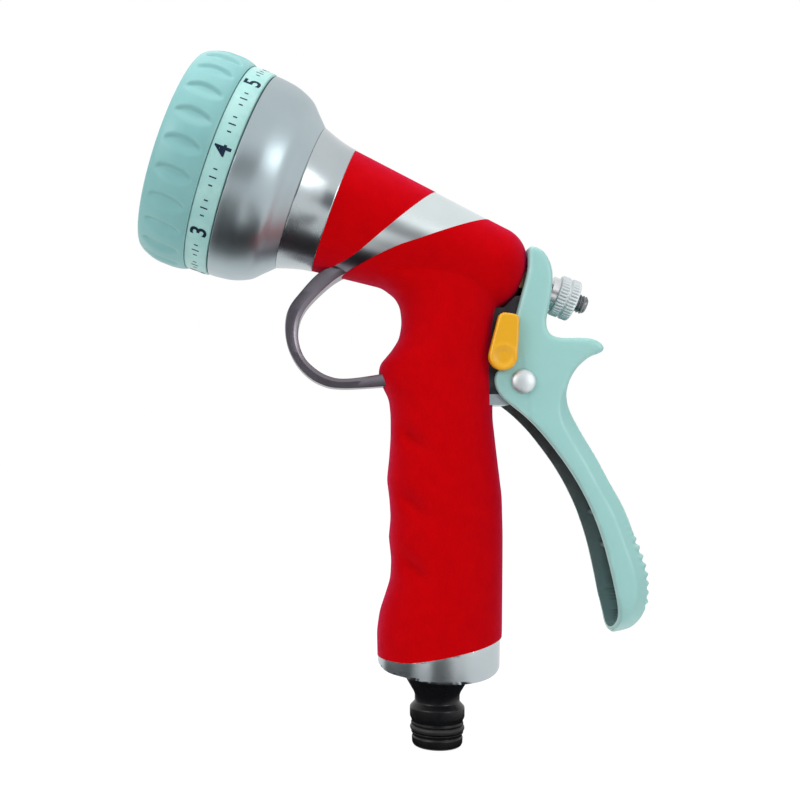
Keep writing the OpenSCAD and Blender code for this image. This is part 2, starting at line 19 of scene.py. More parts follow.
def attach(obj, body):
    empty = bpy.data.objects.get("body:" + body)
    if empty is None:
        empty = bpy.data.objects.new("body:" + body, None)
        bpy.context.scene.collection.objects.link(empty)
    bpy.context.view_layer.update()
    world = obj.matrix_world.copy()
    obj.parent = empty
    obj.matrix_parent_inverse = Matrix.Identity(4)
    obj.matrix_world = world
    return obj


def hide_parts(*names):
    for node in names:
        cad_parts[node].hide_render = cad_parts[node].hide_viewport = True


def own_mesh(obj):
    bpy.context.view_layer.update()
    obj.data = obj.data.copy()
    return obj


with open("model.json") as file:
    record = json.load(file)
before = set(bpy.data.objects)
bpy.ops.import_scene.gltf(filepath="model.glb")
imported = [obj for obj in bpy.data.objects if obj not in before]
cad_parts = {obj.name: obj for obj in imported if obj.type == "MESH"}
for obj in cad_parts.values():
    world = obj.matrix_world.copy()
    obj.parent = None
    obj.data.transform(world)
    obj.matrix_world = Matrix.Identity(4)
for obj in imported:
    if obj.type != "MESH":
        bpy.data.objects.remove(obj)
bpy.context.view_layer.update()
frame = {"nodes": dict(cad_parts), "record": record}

LOG = logging.getLogger("spray_gun")
MM = 0.001

# Places and angles of the gun, in millimetres and degrees.
BARREL_HEIGHT = 154.5
BARREL_TILT = 20.6
PIVOT = (25.0, 113.0)
LOCK = (18.4, 120.5)
SQUEEZE = 14.0
STEM_TRAVEL = 6.1
BARREL = Matrix.Translation((0, 0, BARREL_HEIGHT)) @ Matrix.Rotation(
    math.radians(BARREL_TILT - 90), 4, "Y"
)
TOWARDS_HEAD = BARREL.to_3x3() @ Vector((0, 0, 1))

# Half the width of a block that cuts right across the gun, and the limits for merging points.
ACROSS = 40.0
ON_AXIS = 1e-6
WELD = 1e-4
SLIVER = 1e-5

# How dark the painted shade in inner corners is, as a share of a finish's shade.
CORNER_SHADE_DEPTH = 0.35

Point = tuple[float, float]
Place = tuple[float, float, float]
Line = tuple[Point, ...]
Colour = tuple[float, float, float]
Solid = bmesh.types.BMesh
Material = bpy.types.Material
Socket = bpy.types.NodeSocket


class Slot(Enum):
    """The record's material slots."""

    METAL = "cast_metal"
    RUBBER = "red_rubber"
    TEAL = "teal_plastic"
    YELLOW = "yellow_plastic"
    BLACK = "black_plastic"
    SEAL = "seal_rubber"
    BRASS = "brass"
    STEEL = "steel"
    PALE = "pale_plastic"


class Cut(Enum):
    """How one solid changes another."""

    REMOVE = "DIFFERENCE"
    KEEP = "INTERSECT"


# ---- Places and lines ----


def turned(degrees: float, axis: str) -> Matrix:
    """Gives a turn about the X, Y or Z axis."""
    return Matrix.Rotation(math.radians(degrees), 4, axis)


def on_barrel(s: float, rise: float = 0.0) -> Vector:
    """Gives a point at a place along the barrel's axis, or beside it in the mid plane."""
    return BARREL @ Vector((rise, 0, s))


def arc(centre: Point, radius: float, start: float, end: float, steps: int) -> Line:
    """Gives points round an arc.

    Args:
        centre: The arc's middle.
        radius: Its radius.
        start: The angle of its first point, in degrees.
        end: The angle of its last point.
        steps: How many stretches it has.

    Returns:
        The points.
    """
    angles = [math.radians(start + (end - start) * k / steps) for k in range(steps + 1)]
    return tuple((centre[0] + radius * math.cos(a), centre[1] + radius * math.sin(a)) for a in angles)


def smooth_line(points: Line, steps: int = 5) -> Line:
    """Gives a smooth line through a few points.

    Args:
        points: The points that the line passes through.
        steps: How many stretches lie between two of them.

    Returns:
        The points of the smooth line.
    """
    line = []
    last = len(points) - 1
    for i in range(last):
        a, b = Vector(points[max(i - 1, 0)]), Vector(points[i])
        c, d = Vector(points[i + 1]), Vector(points[min(i + 2, last)])
        for k in range(steps):
            t = k / steps
            p = 2 * b + (c - a) * t + (2 * a - 5 * b + 4 * c - d) * t * t
            line.append(tuple((p + (3 * b - a - 3 * c + d) * t**3) / 2))
    return (*line, tuple(points[-1]))


def between(table: Line, at: float) -> float:
    """Reads a table of (place, value) rows, with straight lines between them.

    Args:
        table: The rows, in rising order of place.
        at: The place to read.

    Returns:
        The value there.
    """
    if at <= table[0][0]:
        return table[0][1]
    for (p, u), (q, v) in zip(table, table[1:]):
        if at <= q:
            t = (at - p) / (q - p)
            return u + (v - u) * t
    return table[-1][1]


def bump(x: float, middle: float, width: float) -> float:
    """Gives 1 at the middle, falling softly to 0 about a width and a half away."""
    return math.exp(-(((x - middle) / width) ** 2))


def ramp(x: float, low: float, high: float) -> float:
    """Gives 0 below low, 1 above high and a soft rise between them."""
    t = min(1.0, max(0.0, (x - low) / (high - low)))
    return t * t * (3 - 2 * t)


# ---- Mesh tools ----


def spun(profile: Iterable[Point], steps: int = 128) -> Solid:
    """Turns an outline of (radius, height) points about the Z axis into a solid.

    Args:
        profile: The outline, closed on itself if it starts and ends off the axis.
        steps: The number of steps round the axis.

    Returns:
        The solid's bmesh.
    """
    bm = bmesh.new()
    points = list(profile)
    verts = [bm.verts.new((r, 0, h)) for r, h in points]
    edges = [bm.edges.new(pair) for pair in zip(verts, verts[1:])]
    if points[0][0] > ON_AXIS or points[-1][0] > ON_AXIS:
        edges.append(bm.edges.new((verts[-1], verts[0])))
    bmesh.ops.spin(
        bm, geom=verts + edges, axis=(0, 0, 1), cent=(0, 0, 0), angle=2 * math.pi,
        steps=steps, use_merge=True,
    )
    bmesh.ops.remove_doubles(bm, verts=bm.verts, dist=WELD)
    bmesh.ops.dissolve_degenerate(bm, edges=bm.edges, dist=SLIVER)
    bmesh.ops.recalc_face_normals(bm, faces=bm.faces)
    return bm


def wound(radius: float, section: Line, pitch: float, turns: float, steps: int) -> Solid:
    """Winds a small closed outline round the Z axis.

    Args:
        radius: The distance from the axis to the outline's own zero.
        section: The outline as (outward, along) points.
        pitch: The rise of each turn.
        turns: The number of turns.
        steps: The steps in each turn.

    Returns:
        The winding's bmesh, with closed ends.
    """
    bm = bmesh.new()
    verts = [bm.verts.new((radius + r, 0, h)) for r, h in section]
    edges = [bm.edges.new((a, b)) for a, b in zip(verts, verts[1:] + verts[:1])]
    count = int(turns * steps)
    bmesh.ops.spin(
        bm, geom=verts + edges, axis=(0, 0, 1), cent=(0, 0, 0),
        angle=2 * math.pi * turns, steps=count, dvec=(0, 0, pitch * turns / count),
    )
    bmesh.ops.holes_fill(bm, edges=[e for e in bm.edges if e.is_boundary], sides=len(section))
    bmesh.ops.recalc_face_normals(bm, faces=bm.faces)
    return bm


def side_cut(points: Iterable[Point], half: float) -> Solid:
    """Widens a flat outline in the mid plane equally to both sides.

    Args:
        points: The outline as (x, z) points.
        half: Half the width.

    Returns:
        The solid's bmesh.
    """
    bm = bmesh.new()
    verts = [bm.verts.new((x, -half, z)) for x, z in points]
    face = bm.faces.new(verts)
    made = bmesh.ops.extrude_face_region(bm, geom=[face])
    moved = [g for g in made["geom"] if isinstance(g, bmesh.types.BMVert)]
    bmesh.ops.translate(bm, verts=moved, vec=(0, 2 * half, 0))
    bmesh.ops.remove_doubles(bm, verts=bm.verts, dist=WELD)
    bmesh.ops.recalc_face_normals(bm, faces=bm.faces)
    return bm


def swept(bm: Solid, places: Iterable[Matrix]) -> Solid:
    """Sweeps a flat outline through a row of places into a closed solid.

    Args:
        bm: The outline, already closed by a face.
        places: Where the outline stands, one after the other.

    Returns:
        The same bmesh.
    """
    ring, verts, place = list(bm.edges), list(bm.verts), Matrix.Identity(4)
    for step, wanted in enumerate(places):
        if step:
            made = bmesh.ops.extrude_edge_only(bm, edges=ring)["geom"]
            ring = [g for g in made if isinstance(g, bmesh.types.BMEdge)]
            verts = [g for g in made if isinstance(g, bmesh.types.BMVert)]
        bmesh.ops.transform(bm, matrix=wanted @ place.inverted(), verts=verts)
        place = wanted
    bmesh.ops.contextual_create(bm, geom=ring)
    bmesh.ops.recalc_face_normals(bm, faces=bm.faces)
    return bm


def lofted(
    rings: Iterable[tuple[float, float, float, float]], count: int = 64, roundness: float = 2.3
) -> Solid:
    """Stacks rounded ovals into an upright solid.

    Args:
        rings: Each ring's height, front, back and half width, from the lowest up.
        count: The number of points in a ring.
        roundness: How square the ovals are, from 2 for an ellipse.

    Returns:
        The solid's bmesh.
    """
    bm = bmesh.new()
    bmesh.ops.create_circle(bm, cap_ends=True, segments=count, radius=1)
    for v in bm.verts:
        v.co.x = math.copysign(abs(v.co.x) ** (2 / roundness), v.co.x)
        v.co.y = math.copysign(abs(v.co.y) ** (2 / roundness), v.co.y)
    return swept(bm, [
        Matrix.Translation(((front + back) / 2, 0, z)) @ Matrix.Diagonal(((back - front) / 2, half, 1, 1))
        for z, front, back, half in rings
    ])


def rod(radius: float, start: Vector, end: Vector) -> Solid:
    """Makes a plain round bar between two points.

    Args:
        radius: Its radius.
        start: The middle of one end.
        end: The middle of the other.

    Returns:
        The bar's bmesh.
    """
    bm = bmesh.new()
    bmesh.ops.create_cone(
        bm, cap_ends=True, segments=48, radius1=radius, radius2=radius, depth=(end - start).length,
    )
    turn = (end - start).to_track_quat("Z", "Y").to_matrix().to_4x4()
    return placed(bm, Matrix.Translation((start + end) / 2) @ turn)


def block(size: Place, middle: Place) -> Solid:
    """Makes a box from its size and its middle."""
    bm = bmesh.new()
    bmesh.ops.create_cube(bm, size=1)
    return placed(bm, Matrix.Translation(middle) @ Matrix.Diagonal((*size, 1)))


def placed(bm: Solid, matrix: Matrix) -> Solid:
    """Moves a whole bmesh and returns it."""
    bmesh.ops.transform(bm, matrix=matrix, verts=bm.verts)
    return bm


def eased(bm: Solid, width: float, segments: int = 3, sharper_than: float = 32) -> Solid:
    """Rounds the edges of a solid that are sharper than an angle.

    Args:
        bm: The solid.
        width: The width of the rounding.
        segments: The number of strips in it.
        sharper_than: The least angle between two faces, in degrees.

    Returns:
        The same bmesh.
    """
    limit = math.radians(sharper_than)
    sharp = [e for e in bm.edges if e.is_manifold and e.calc_face_angle(0) > limit]
    bmesh.ops.bevel(
        bm, geom=sharp, offset=width, offset_type="OFFSET", segments=segments, profile=0.5,
        affect="EDGES", clamp_overlap=True, material=-1,
    )
    return bm


def as_object(name: str, bm: Solid, *materials: Optional[Material]) -> bpy.types.Object:
    """Turns a bmesh into an object of the scene.

    Args:
        name: The object's name.
        bm: Its mesh, which is freed.
        materials: Its materials, with None for a slot that stays empty.

    Returns:
        The object.
    """
    mesh = bpy.data.meshes.new(name)
    bm.to_mesh(mesh)
    bm.free()
    for material in materials:
        mesh.materials.append(material)
    made = bpy.data.objects.new(name, mesh)
    bpy.context.scene.collection.objects.link(made)
    return made


def scrap(thing: bpy.types.Object) -> None:
    """Removes an object together with its mesh."""
    mesh = thing.data
    bpy.data.objects.remove(thing)
    bpy.data.meshes.remove(mesh)


def with_modifiers(bm: Solid, *settings: dict) -> Solid:
    """Runs modifiers over a bmesh.

    Args:
        bm: The mesh, which is freed.
        settings: Each modifier's type and its values.

    Returns:
        A new bmesh with the modifiers applied.
    """
    holder = as_object("work", bm, None, None)
    for values in settings:
        modifier = holder.modifiers.new(values["type"], values["type"])
        for key, value in values.items():
            if key != "type":
                setattr(modifier, key, value)
    result = bmesh.new()
    result.from_object(holder, bpy.context.evaluated_depsgraph_get())
    scrap(holder)
    return result


def carved(bm: Solid, cutter: Solid, cut: Cut = Cut.REMOVE) -> Solid:
    """Takes one solid away from another, or keeps only what both hold.

    Args:
        bm: The solid that changes, which is freed.
        cutter: The other solid, which is freed.
        cut: Which of the two is done.

    Returns:
        The new solid's bmesh.
    """
    tool = as_object("cutter", cutter, None, None)
    result = with_modifiers(
        bm, {"type": "BOOLEAN", "operation": cut.value, "object": tool, "solver": "EXACT"}
    )
    scrap(tool)
    return result


def melted(bm: Solid, voxel: float, rounds: int) -> Solid:
    """Melts overlapping solids into one skin with soft edges and inner corners.

    Args:
        bm: The overlapping solids.
        voxel: The size of the new mesh's squares.
        rounds: How many times the skin is smoothed.

    Returns:
        The new skin's bmesh.
    """
    return with_modifiers(
        bm,
        {"type": "REMESH", "mode": "VOXEL", "voxel_size": voxel, "adaptivity": 0.0},
        {"type": "SMOOTH", "iterations": rounds, "factor": 0.5},
    )


def together(*parts: Solid) -> Solid:
    """Puts several meshes into one.

    Args:
        parts: The meshes, which are freed.

    Returns:
        One bmesh with all of them in it.
    """
    whole = bmesh.new()
    for part in parts:
        mesh = bpy.data.meshes.new("part")
        part.to_mesh(mesh)
        part.free()
        whole.from_mesh(mesh)
        bpy.data.meshes.remove(mesh)
    return whole


def shaped(bm: Solid, move: Callable[[Vector, Vector], Vector]) -> Solid:
    """Moves each vertex by a rule.

    Args:
        bm: The mesh.
        move: Gives the offset for a vertex from its place and its normal.

    Returns:
        The same bmesh.
    """
    bm.normal_update()
    offsets = [move(v.co, v.normal) for v in bm.verts]
    for v, offset in zip(bm.verts, offsets):
        v.co += offset
    bm.normal_update()
    return bm


# ---- Finishes ----


class Sheet:
    """A node tree with short ways to add and join nodes."""

    def __init__(self, tree: bpy.types.NodeTree) -> None:
        """Keeps the tree."""
        self.tree = tree

    def add(self, kind: str, inputs: Optional[dict] = None, **values: object) -> bpy.types.Node:
        """Adds a node.

        Args:
            kind: The node's type name.
            inputs: Values or output sockets for its inputs, by name or number.
            values: The node's own settings.

        Returns:
            The new node.
        """
        node = self.tree.nodes.new(kind)
        for key, value in values.items():
            setattr(node, key, value)
        self.fill(node, inputs or {})
        return node

    def fill(self, node: bpy.types.Node, inputs: dict) -> None:
        """Joins or sets a node's inputs.

        Args:
            node: The node.
            inputs: Values or output sockets for its inputs, by name or number.
        """
        for key, value in inputs.items():
            if isinstance(value, Socket):
                self.tree.links.new(value, node.inputs[key])
            else:
                node.inputs[key].default_value = value

    def math(self, operation: str, a: object, b: object = 0.5) -> Socket:
        """Adds a Math node and gives its result."""
        return self.add("ShaderNodeMath", {0: a, 1: b}, operation=operation).outputs[0]

    def span(
        self, value: object, low: float, high: float, to_low: float = 0, to_high: float = 1
    ) -> Socket:
        """Maps a value from one range to another, held at its ends."""
        inputs = {0: value, 1: low, 2: high, 3: to_low, 4: to_high}
        return self.add("ShaderNodeMapRange", inputs).outputs[0]

    def mix(self, share: object, a: object, b: object) -> Socket:
        """Mixes two colours and gives the result."""
        inputs = {0: share, 6: a, 7: b}
        return self.add("ShaderNodeMix", inputs, data_type="RGBA", clamp_factor=True).outputs[2]

    def noise(self, vector: Socket, scale: object, detail: float, roughness: float = 0.5) -> Socket:
        """Adds a noise and gives its value."""
        inputs = {"Vector": vector, "Scale": scale, "Detail": detail, "Roughness": roughness}
        return self.add("ShaderNodeTexNoise", inputs).outputs[0]

    def put_out(self, results: dict[str, Socket]) -> bpy.types.NodeTree:
        """Gives a node group its outputs.

        Args:
            results: The number that each output carries, by the output's name.

        Returns:
            The group's tree.
        """
        for key in results:
            self.tree.interface.new_socket(key, in_out="OUTPUT", socket_type="NodeSocketFloat")
        self.add("NodeGroupOutput", results)
        return self.tree


def group(name: str, values: dict[str, float]) -> tuple[Sheet, bpy.types.bpy_prop_collection]:
    """Starts a shader node group.

    Args:
        name: The group's name.
        values: Its number inputs and what they start at. It always has a Vector input too.

    Returns:
        The group's sheet, and the sockets that its inputs come in by.
    """
    tree = bpy.data.node_groups.new(name, "ShaderNodeTree")
    tree.interface.new_socket("Vector", in_out="INPUT", socket_type="NodeSocketVector")
    for key, value in values.items():
        socket = tree.interface.new_socket(key, in_out="INPUT", socket_type="NodeSocketFloat")
        socket.default_value = value
    sheet = Sheet(tree)
    return sheet, sheet.add("NodeGroupInput").outputs


def make_grain() -> bpy.types.NodeTree:
    """Makes fine moulded or rubber grain.

    Returns:
        A group that puts out the grain's height and a slower mottle.
    """
    s, given = group("grain", {"Scale": 3000.0, "Mottle": 60.0})
    fine = s.noise(given["Vector"], given["Scale"], 4.0, 0.6)
    cells = s.add("ShaderNodeTexVoronoi", {"Vector": given["Vector"], "Scale": given["Scale"]})
    slow = s.noise(given["Vector"], given["Mottle"], 5.0, 0.55)
    height = s.math("ADD", s.math("MULTIPLY", fine, 0.7), s.math("MULTIPLY", cells.outputs[0], 0.3))
    return s.put_out({"Height": height, "Mottle": s.span(slow, 0.3, 0.7)})


def make_wear_and_corner_shade() -> bpy.types.NodeTree:
    """Makes worn outer edges and painted shade in the inner corners, broken up by noise.

    Returns:
        A group that puts out a mask for the edges and one for the corners.
    """
    s, given = group("edge_wear_and_corner_shade", {"Scale": 220.0, "Reach": 0.05})
    point = s.add("ShaderNodeNewGeometry").outputs["Pointiness"]
    broken = s.noise(given["Vector"], given["Scale"], 6.0)
    rise = s.math("DIVIDE", s.math("SUBTRACT", point, 0.5), given["Reach"])
    fall = s.math("MULTIPLY", rise, -1.0)
    edge = s.math("MULTIPLY", s.span(rise, 0.15, 1.0), s.span(broken, 0.35, 0.6))
    # Painted shade: this mask darkens inner corners and hollows.
    corner = s.math("MULTIPLY", s.span(fall, 0.1, 1.0), s.span(broken, 0.25, 0.7, 0.5, 1.0))
    return s.put_out({"Edge": edge, "Corner": corner})


def make_brushing() -> bpy.types.NodeTree:
    """Makes fine upright marks, with slower bands of tone.

    Returns:
        A group that puts out the marks' height and the bands' tone.
    """
    s, given = group("brushing", {"Across": 5000.0, "Along": 120.0})
    parts = s.add("ShaderNodeSeparateXYZ", {0: given["Vector"]}).outputs
    scales = (given["Across"], given["Across"], given["Along"])
    stretched = {k: s.math("MULTIPLY", parts[k], scale) for k, scale in enumerate(scales)}
    marks = s.noise(s.add("ShaderNodeCombineXYZ", stretched).outputs[0], 1.0, 3.0)
    bands = s.noise(given["Vector"], 45.0, 3.0)
    return s.put_out({"Height": marks, "Tone": s.span(bands, 0.3, 0.7)})


class Effects:
    """The shared node groups, each built once."""

    def __init__(self) -> None:
        """Builds the groups."""
        self.grain = make_grain()
        self.wear_and_shade = make_wear_and_corner_shade()
        self.brushing = make_brushing()


@dataclass(frozen=True)
class Finish:
    """One procedural finish, from its colours to its grain."""

    name: str
    colour: Colour
    shade: Colour
    worn: Colour
    metallic: float = 0.0
    roughness: float = 0.4
    roughness_spread: float = 0.08
    grain_scale: float = 2600.0
    mottle_scale: float = 70.0
    grain_depth: float = 0.00003
    mottle_share: float = 0.3
    wear_share: float = 0.5
    # How much painted shade goes into inner corners.
    corner_shade_share: float = 0.35
    coat: float = 0.0
    coat_roughness: float = 0.2
    sheen: float = 0.0
    sheen_tint: Colour = (1.0, 1.0, 1.0)
    subsurface: float = 0.0
    brushed: bool = False
    specular: float = 0.5
    # Heights in metres of a band that paints light and shade: below it the colour turns to fade_colour.
    fade: Optional[tuple[float, float]] = None
    fade_colour: Colour = (0.5, 0.5, 0.5)

    def material(self, effects: Effects) -> Material:
        """Builds the material.

        Args:
            effects: The shared node groups.

        Returns:
            The material, with every effect wired in.
        """
        made = bpy.data.materials.new(self.name)
        made.use_nodes = True
        s = Sheet(made.node_tree)
        place = s.add("ShaderNodeTexCoord").outputs["Object"]
        scales = {"Vector": place, "Scale": self.grain_scale, "Mottle": self.mottle_scale}
        grain = s.add("ShaderNodeGroup", node_tree=effects.grain)
        s.fill(grain, scales)
        wear_and_shade = s.add("ShaderNodeGroup", node_tree=effects.wear_and_shade)
        s.fill(wear_and_shade, {"Vector": place})
        height, tone = grain.outputs["Height"], grain.outputs["Mottle"]
        if self.brushed:
            marks = s.add("ShaderNodeGroup", node_tree=effects.brushing)
            s.fill(marks, {"Vector": place})
            height, tone = marks.outputs["Height"], marks.outputs["Tone"]
        colour = s.mix(s.math("MULTIPLY", tone, self.mottle_share), (*self.colour, 1), (*self.shade, 1))
        # Painted light and shade by height, from fade_colour below the band to the finish's own colour
        # above it.
        if self.fade:
            level = s.add("ShaderNodeSeparateXYZ", {0: place}).outputs[2]
            colour = s.mix(s.span(level, *self.fade), (*self.fade_colour, 1), colour)
        # Painted shade: a darker copy of the shade colour for the inner corners.
        corner_shade = (*(c * CORNER_SHADE_DEPTH for c in self.shade), 1)
        for mask, share, other in (
            ("Edge", self.wear_share, (*self.worn, 1)), ("Corner", self.corner_shade_share, corner_shade),
        ):
            colour = s.mix(s.math("MULTIPLY", wear_and_shade.outputs[mask], share), colour, other)
        spread = (self.roughness - self.roughness_spread, self.roughness + self.roughness_spread)
        bumps = {"Height": height, "Distance": self.grain_depth, "Strength": 1.0}
        s.fill(made.node_tree.nodes["Principled BSDF"], {
            "Base Color": colour, "Roughness": s.span(tone, 0.0, 1.0, *spread),
            "Normal": s.add("ShaderNodeBump", bumps).outputs[0],
            "Metallic": self.metallic, "Coat Weight": self.coat, "Coat Roughness": self.coat_roughness,
            "Sheen Weight": self.sheen, "Sheen Roughness": 0.4, "Sheen Tint": (*self.sheen_tint, 1),
            "Subsurface Weight": self.subsurface, "Subsurface Scale": 0.002,
            "Specular IOR Level": self.specular,
        })
        return made


FINISHES = {
    Slot.METAL: Finish(
        "cast_metal", (0.43, 0.51, 0.54), (0.35, 0.43, 0.46), (0.62, 0.66, 0.68), metallic=1.0,
        roughness=0.38, roughness_spread=0.04, grain_depth=0.000004, mottle_share=0.5,
        wear_share=0.12, corner_shade_share=0.1, brushed=True,
    ),
    Slot.RUBBER: Finish(
        "red_rubber", (0.500, 0.0, 0.0010), (0.380, 0.0, 0.002), (0.580, 0.003, 0.006),
        roughness=0.66, grain_scale=2400.0, mottle_scale=240.0, grain_depth=0.00006,
        mottle_share=0.35, wear_share=0.2, corner_shade_share=0.6, sheen=0.30, sheen_tint=(1.0, 0.12, 0.50),
        specular=0.02,
    ),
    Slot.TEAL: Finish(
        "teal_plastic", (0.300, 0.560, 0.535), (0.265, 0.515, 0.500), (0.46, 0.70, 0.67),
        roughness=0.38, grain_depth=0.000010, mottle_share=0.5, wear_share=0.45, corner_shade_share=0.25,
        coat=0.10, coat_roughness=0.25, subsurface=0.05,
    ),
    Slot.YELLOW: Finish(
        "yellow_plastic", (0.740, 0.370, 0.003), (0.680, 0.320, 0.002), (0.85, 0.52, 0.04),
        roughness=0.36, grain_depth=0.000010, mottle_share=0.4, wear_share=0.5, coat=0.10,
        subsurface=0.05,
    ),
    Slot.BLACK: Finish(
        "black_plastic", (0.0045, 0.005, 0.006), (0.009, 0.009, 0.010), (0.035, 0.035, 0.036),
        roughness=0.34, grain_depth=0.000014, mottle_share=0.7, wear_share=0.4, corner_shade_share=0.1,
        specular=0.3,
    ),
    Slot.SEAL: Finish(
        "seal_rubber", (0.010, 0.010, 0.011), (0.018, 0.018, 0.018), (0.035, 0.035, 0.035),
        roughness=0.55, mottle_share=0.6,
    ),
    Slot.BRASS: Finish(
        "brass", (0.70, 0.47, 0.20), (0.52, 0.33, 0.13), (0.86, 0.66, 0.36), metallic=1.0,
        roughness=0.30, grain_depth=0.000010, brushed=True,
    ),
    Slot.STEEL: Finish(
        "steel", (0.66, 0.67, 0.69), (0.46, 0.47, 0.50), (0.85, 0.85, 0.86), metallic=1.0,
        roughness=0.26, grain_depth=0.000008, mottle_share=0.5, brushed=True,
    ),
    Slot.PALE: Finish(
        "pale_plastic", (0.60, 0.62, 0.61), (0.52, 0.54, 0.53), (0.72, 0.74, 0.73),
        roughness=0.45, grain_depth=0.000012,
    ),
}
DARK_STEEL = Finish(
    "oiled_steel", (0.16, 0.17, 0.18), (0.09, 0.10, 0.11), (0.45, 0.46, 0.47), metallic=1.0,
    roughness=0.34, grain_depth=0.000010, mottle_share=0.7, brushed=True,
)
GUARD_METAL = Finish(
    "polished_metal", (0.49, 0.54, 0.56), (0.38, 0.43, 0.46), (0.72, 0.74, 0.76), metallic=1.0,
    roughness=0.26, roughness_spread=0.03, grain_depth=0.000001, mottle_share=0.5,
    wear_share=0.08, corner_shade_share=0.08, brushed=True,
)
# Painted light and shade: a brighter copy of the polished metal stands in for the band's highlight, and
# below 148 to 158 mm it turns purple-grey as painted shade.
BAND_PAINTED_LIGHT = replace(
    GUARD_METAL, name="band_metal_painted_light_and_shade", colour=(0.70, 0.77, 0.78), shade=(0.54, 0.61, 0.62), roughness=0.28,
    fade=(0.148, 0.158), fade_colour=(0.17, 0.155, 0.185),
)
# Painted shade: the loop's metal is darkened and tinted purple-grey, standing in for the dark reflection
# on it.
LOOP_PAINTED_SHADE = Finish(
    "loop_metal_painted_shade", (0.20, 0.185, 0.215), (0.15, 0.135, 0.165), (0.42, 0.42, 0.45), metallic=1.0,
    roughness=0.33, roughness_spread=0.03, grain_depth=0.000001, mottle_share=0.5,
    wear_share=0.1, corner_shade_share=0.1, brushed=True,
)
RING_TEAL = Finish(
    "ring_teal", (0.205, 0.450, 0.450), (0.180, 0.410, 0.415), (0.36, 0.60, 0.58),
    roughness=0.42, grain_depth=0.000010, mottle_share=0.5, wear_share=0.35, corner_shade_share=0.25,
    coat=0.06, coat_roughness=0.3, subsurface=0.05,
)
SATIN_STEEL = Finish(
    "satin_steel", (0.68, 0.73, 0.75), (0.60, 0.65, 0.67), (0.78, 0.80, 0.81), metallic=1.0,
    roughness=0.52, roughness_spread=0.05, grain_depth=0.000004, mottle_share=0.5, brushed=True,
)
# Painted shadow: a near-black finish on the ear stands in for the shadow between the handle and the
# lever.
SHADOW_COAT = Finish(
    "painted_shadow_coat", (0.011, 0.009, 0.013), (0.006, 0.005, 0.008), (0.06, 0.06, 0.065),
    roughness=0.45, grain_depth=0.000014, mottle_share=0.7, specular=0.25,
)
# Painted shade inside the lever's hollow: near-black higher up, turning teal-grey towards the bottom
# where light reaches in.
INSIDE_PAINTED_SHADE = Finish(
    "inside_painted_shade", (0.060, 0.066, 0.068), (0.040, 0.045, 0.046), (0.16, 0.20, 0.20),
    roughness=0.55, grain_depth=0.000030, mottle_share=0.8, corner_shade_share=0.7, specular=0.3,
    fade=(0.036, 0.092), fade_colour=(0.17, 0.31, 0.31),
)
INK = Finish(
    "navy_ink", (0.004, 0.014, 0.034), (0.008, 0.020, 0.044), (0.03, 0.06, 0.09),
    roughness=0.5, grain_depth=0.000008, wear_share=0.2, specular=0.15,
)


SPECIAL = (
    DARK_STEEL, GUARD_METAL, LOOP_PAINTED_SHADE, BAND_PAINTED_LIGHT, RING_TEAL, SATIN_STEEL, SHADOW_COAT, INSIDE_PAINTED_SHADE, INK,
)


class Workshop:
    """Every material of the gun, built once, and the way that a piece is finished."""

    def __init__(self) -> None:
        """Builds the groups and the materials."""
        effects = Effects()
        self.made = {finish: finish.material(effects) for finish in (*FINISHES.values(), *SPECIAL)}

    def dress_frame(self) -> None:
        """Gives each of the frame's own nodes the material of its slot."""
        for row in frame["record"]["subparts"]:
            node = frame["nodes"][row["node"]]
            node.data.materials.clear()
            node.data.materials.append(self.made[FINISHES[Slot(row["material_slot"])]])

    def piece(
        self, name: str, bm: Solid, slot: Slot, body: str, replaces: tuple[str, ...] = (),
        crease: float = 35, finish: Optional[Finish] = None,
    ) -> bpy.types.Object:
        """Turns a bmesh in millimetres into a piece of the gun.

        Args:
            name: The piece's name.
            bm: Its mesh, which is freed.
            slot: The record's slot that its finish comes from.
            body: The body that it rides on.
            replaces: The frame's nodes that it stands for.
            crease: The angle in degrees above which an edge stays sharp.
            finish: Its finish, where it isn't the slot's own.

        Returns:
            The piece's object.
        """
        bmesh.ops.scale(bm, vec=(MM, MM, MM), verts=bm.verts)
        for face in bm.faces:
            face.smooth = True
        for edge in bm.edges:
            edge.smooth = not (edge.is_manifold and edge.calc_face_angle(0) > math.radians(crease))
        made = as_object(name, bm, self.made[finish or FINISHES[slot]])
        if replaces:
            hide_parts(*replaces)
        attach(made, body)
        LOG.info("%s: %d faces on %s", name, len(made.data.polygons), body)
        return made


# ---- The gun ----


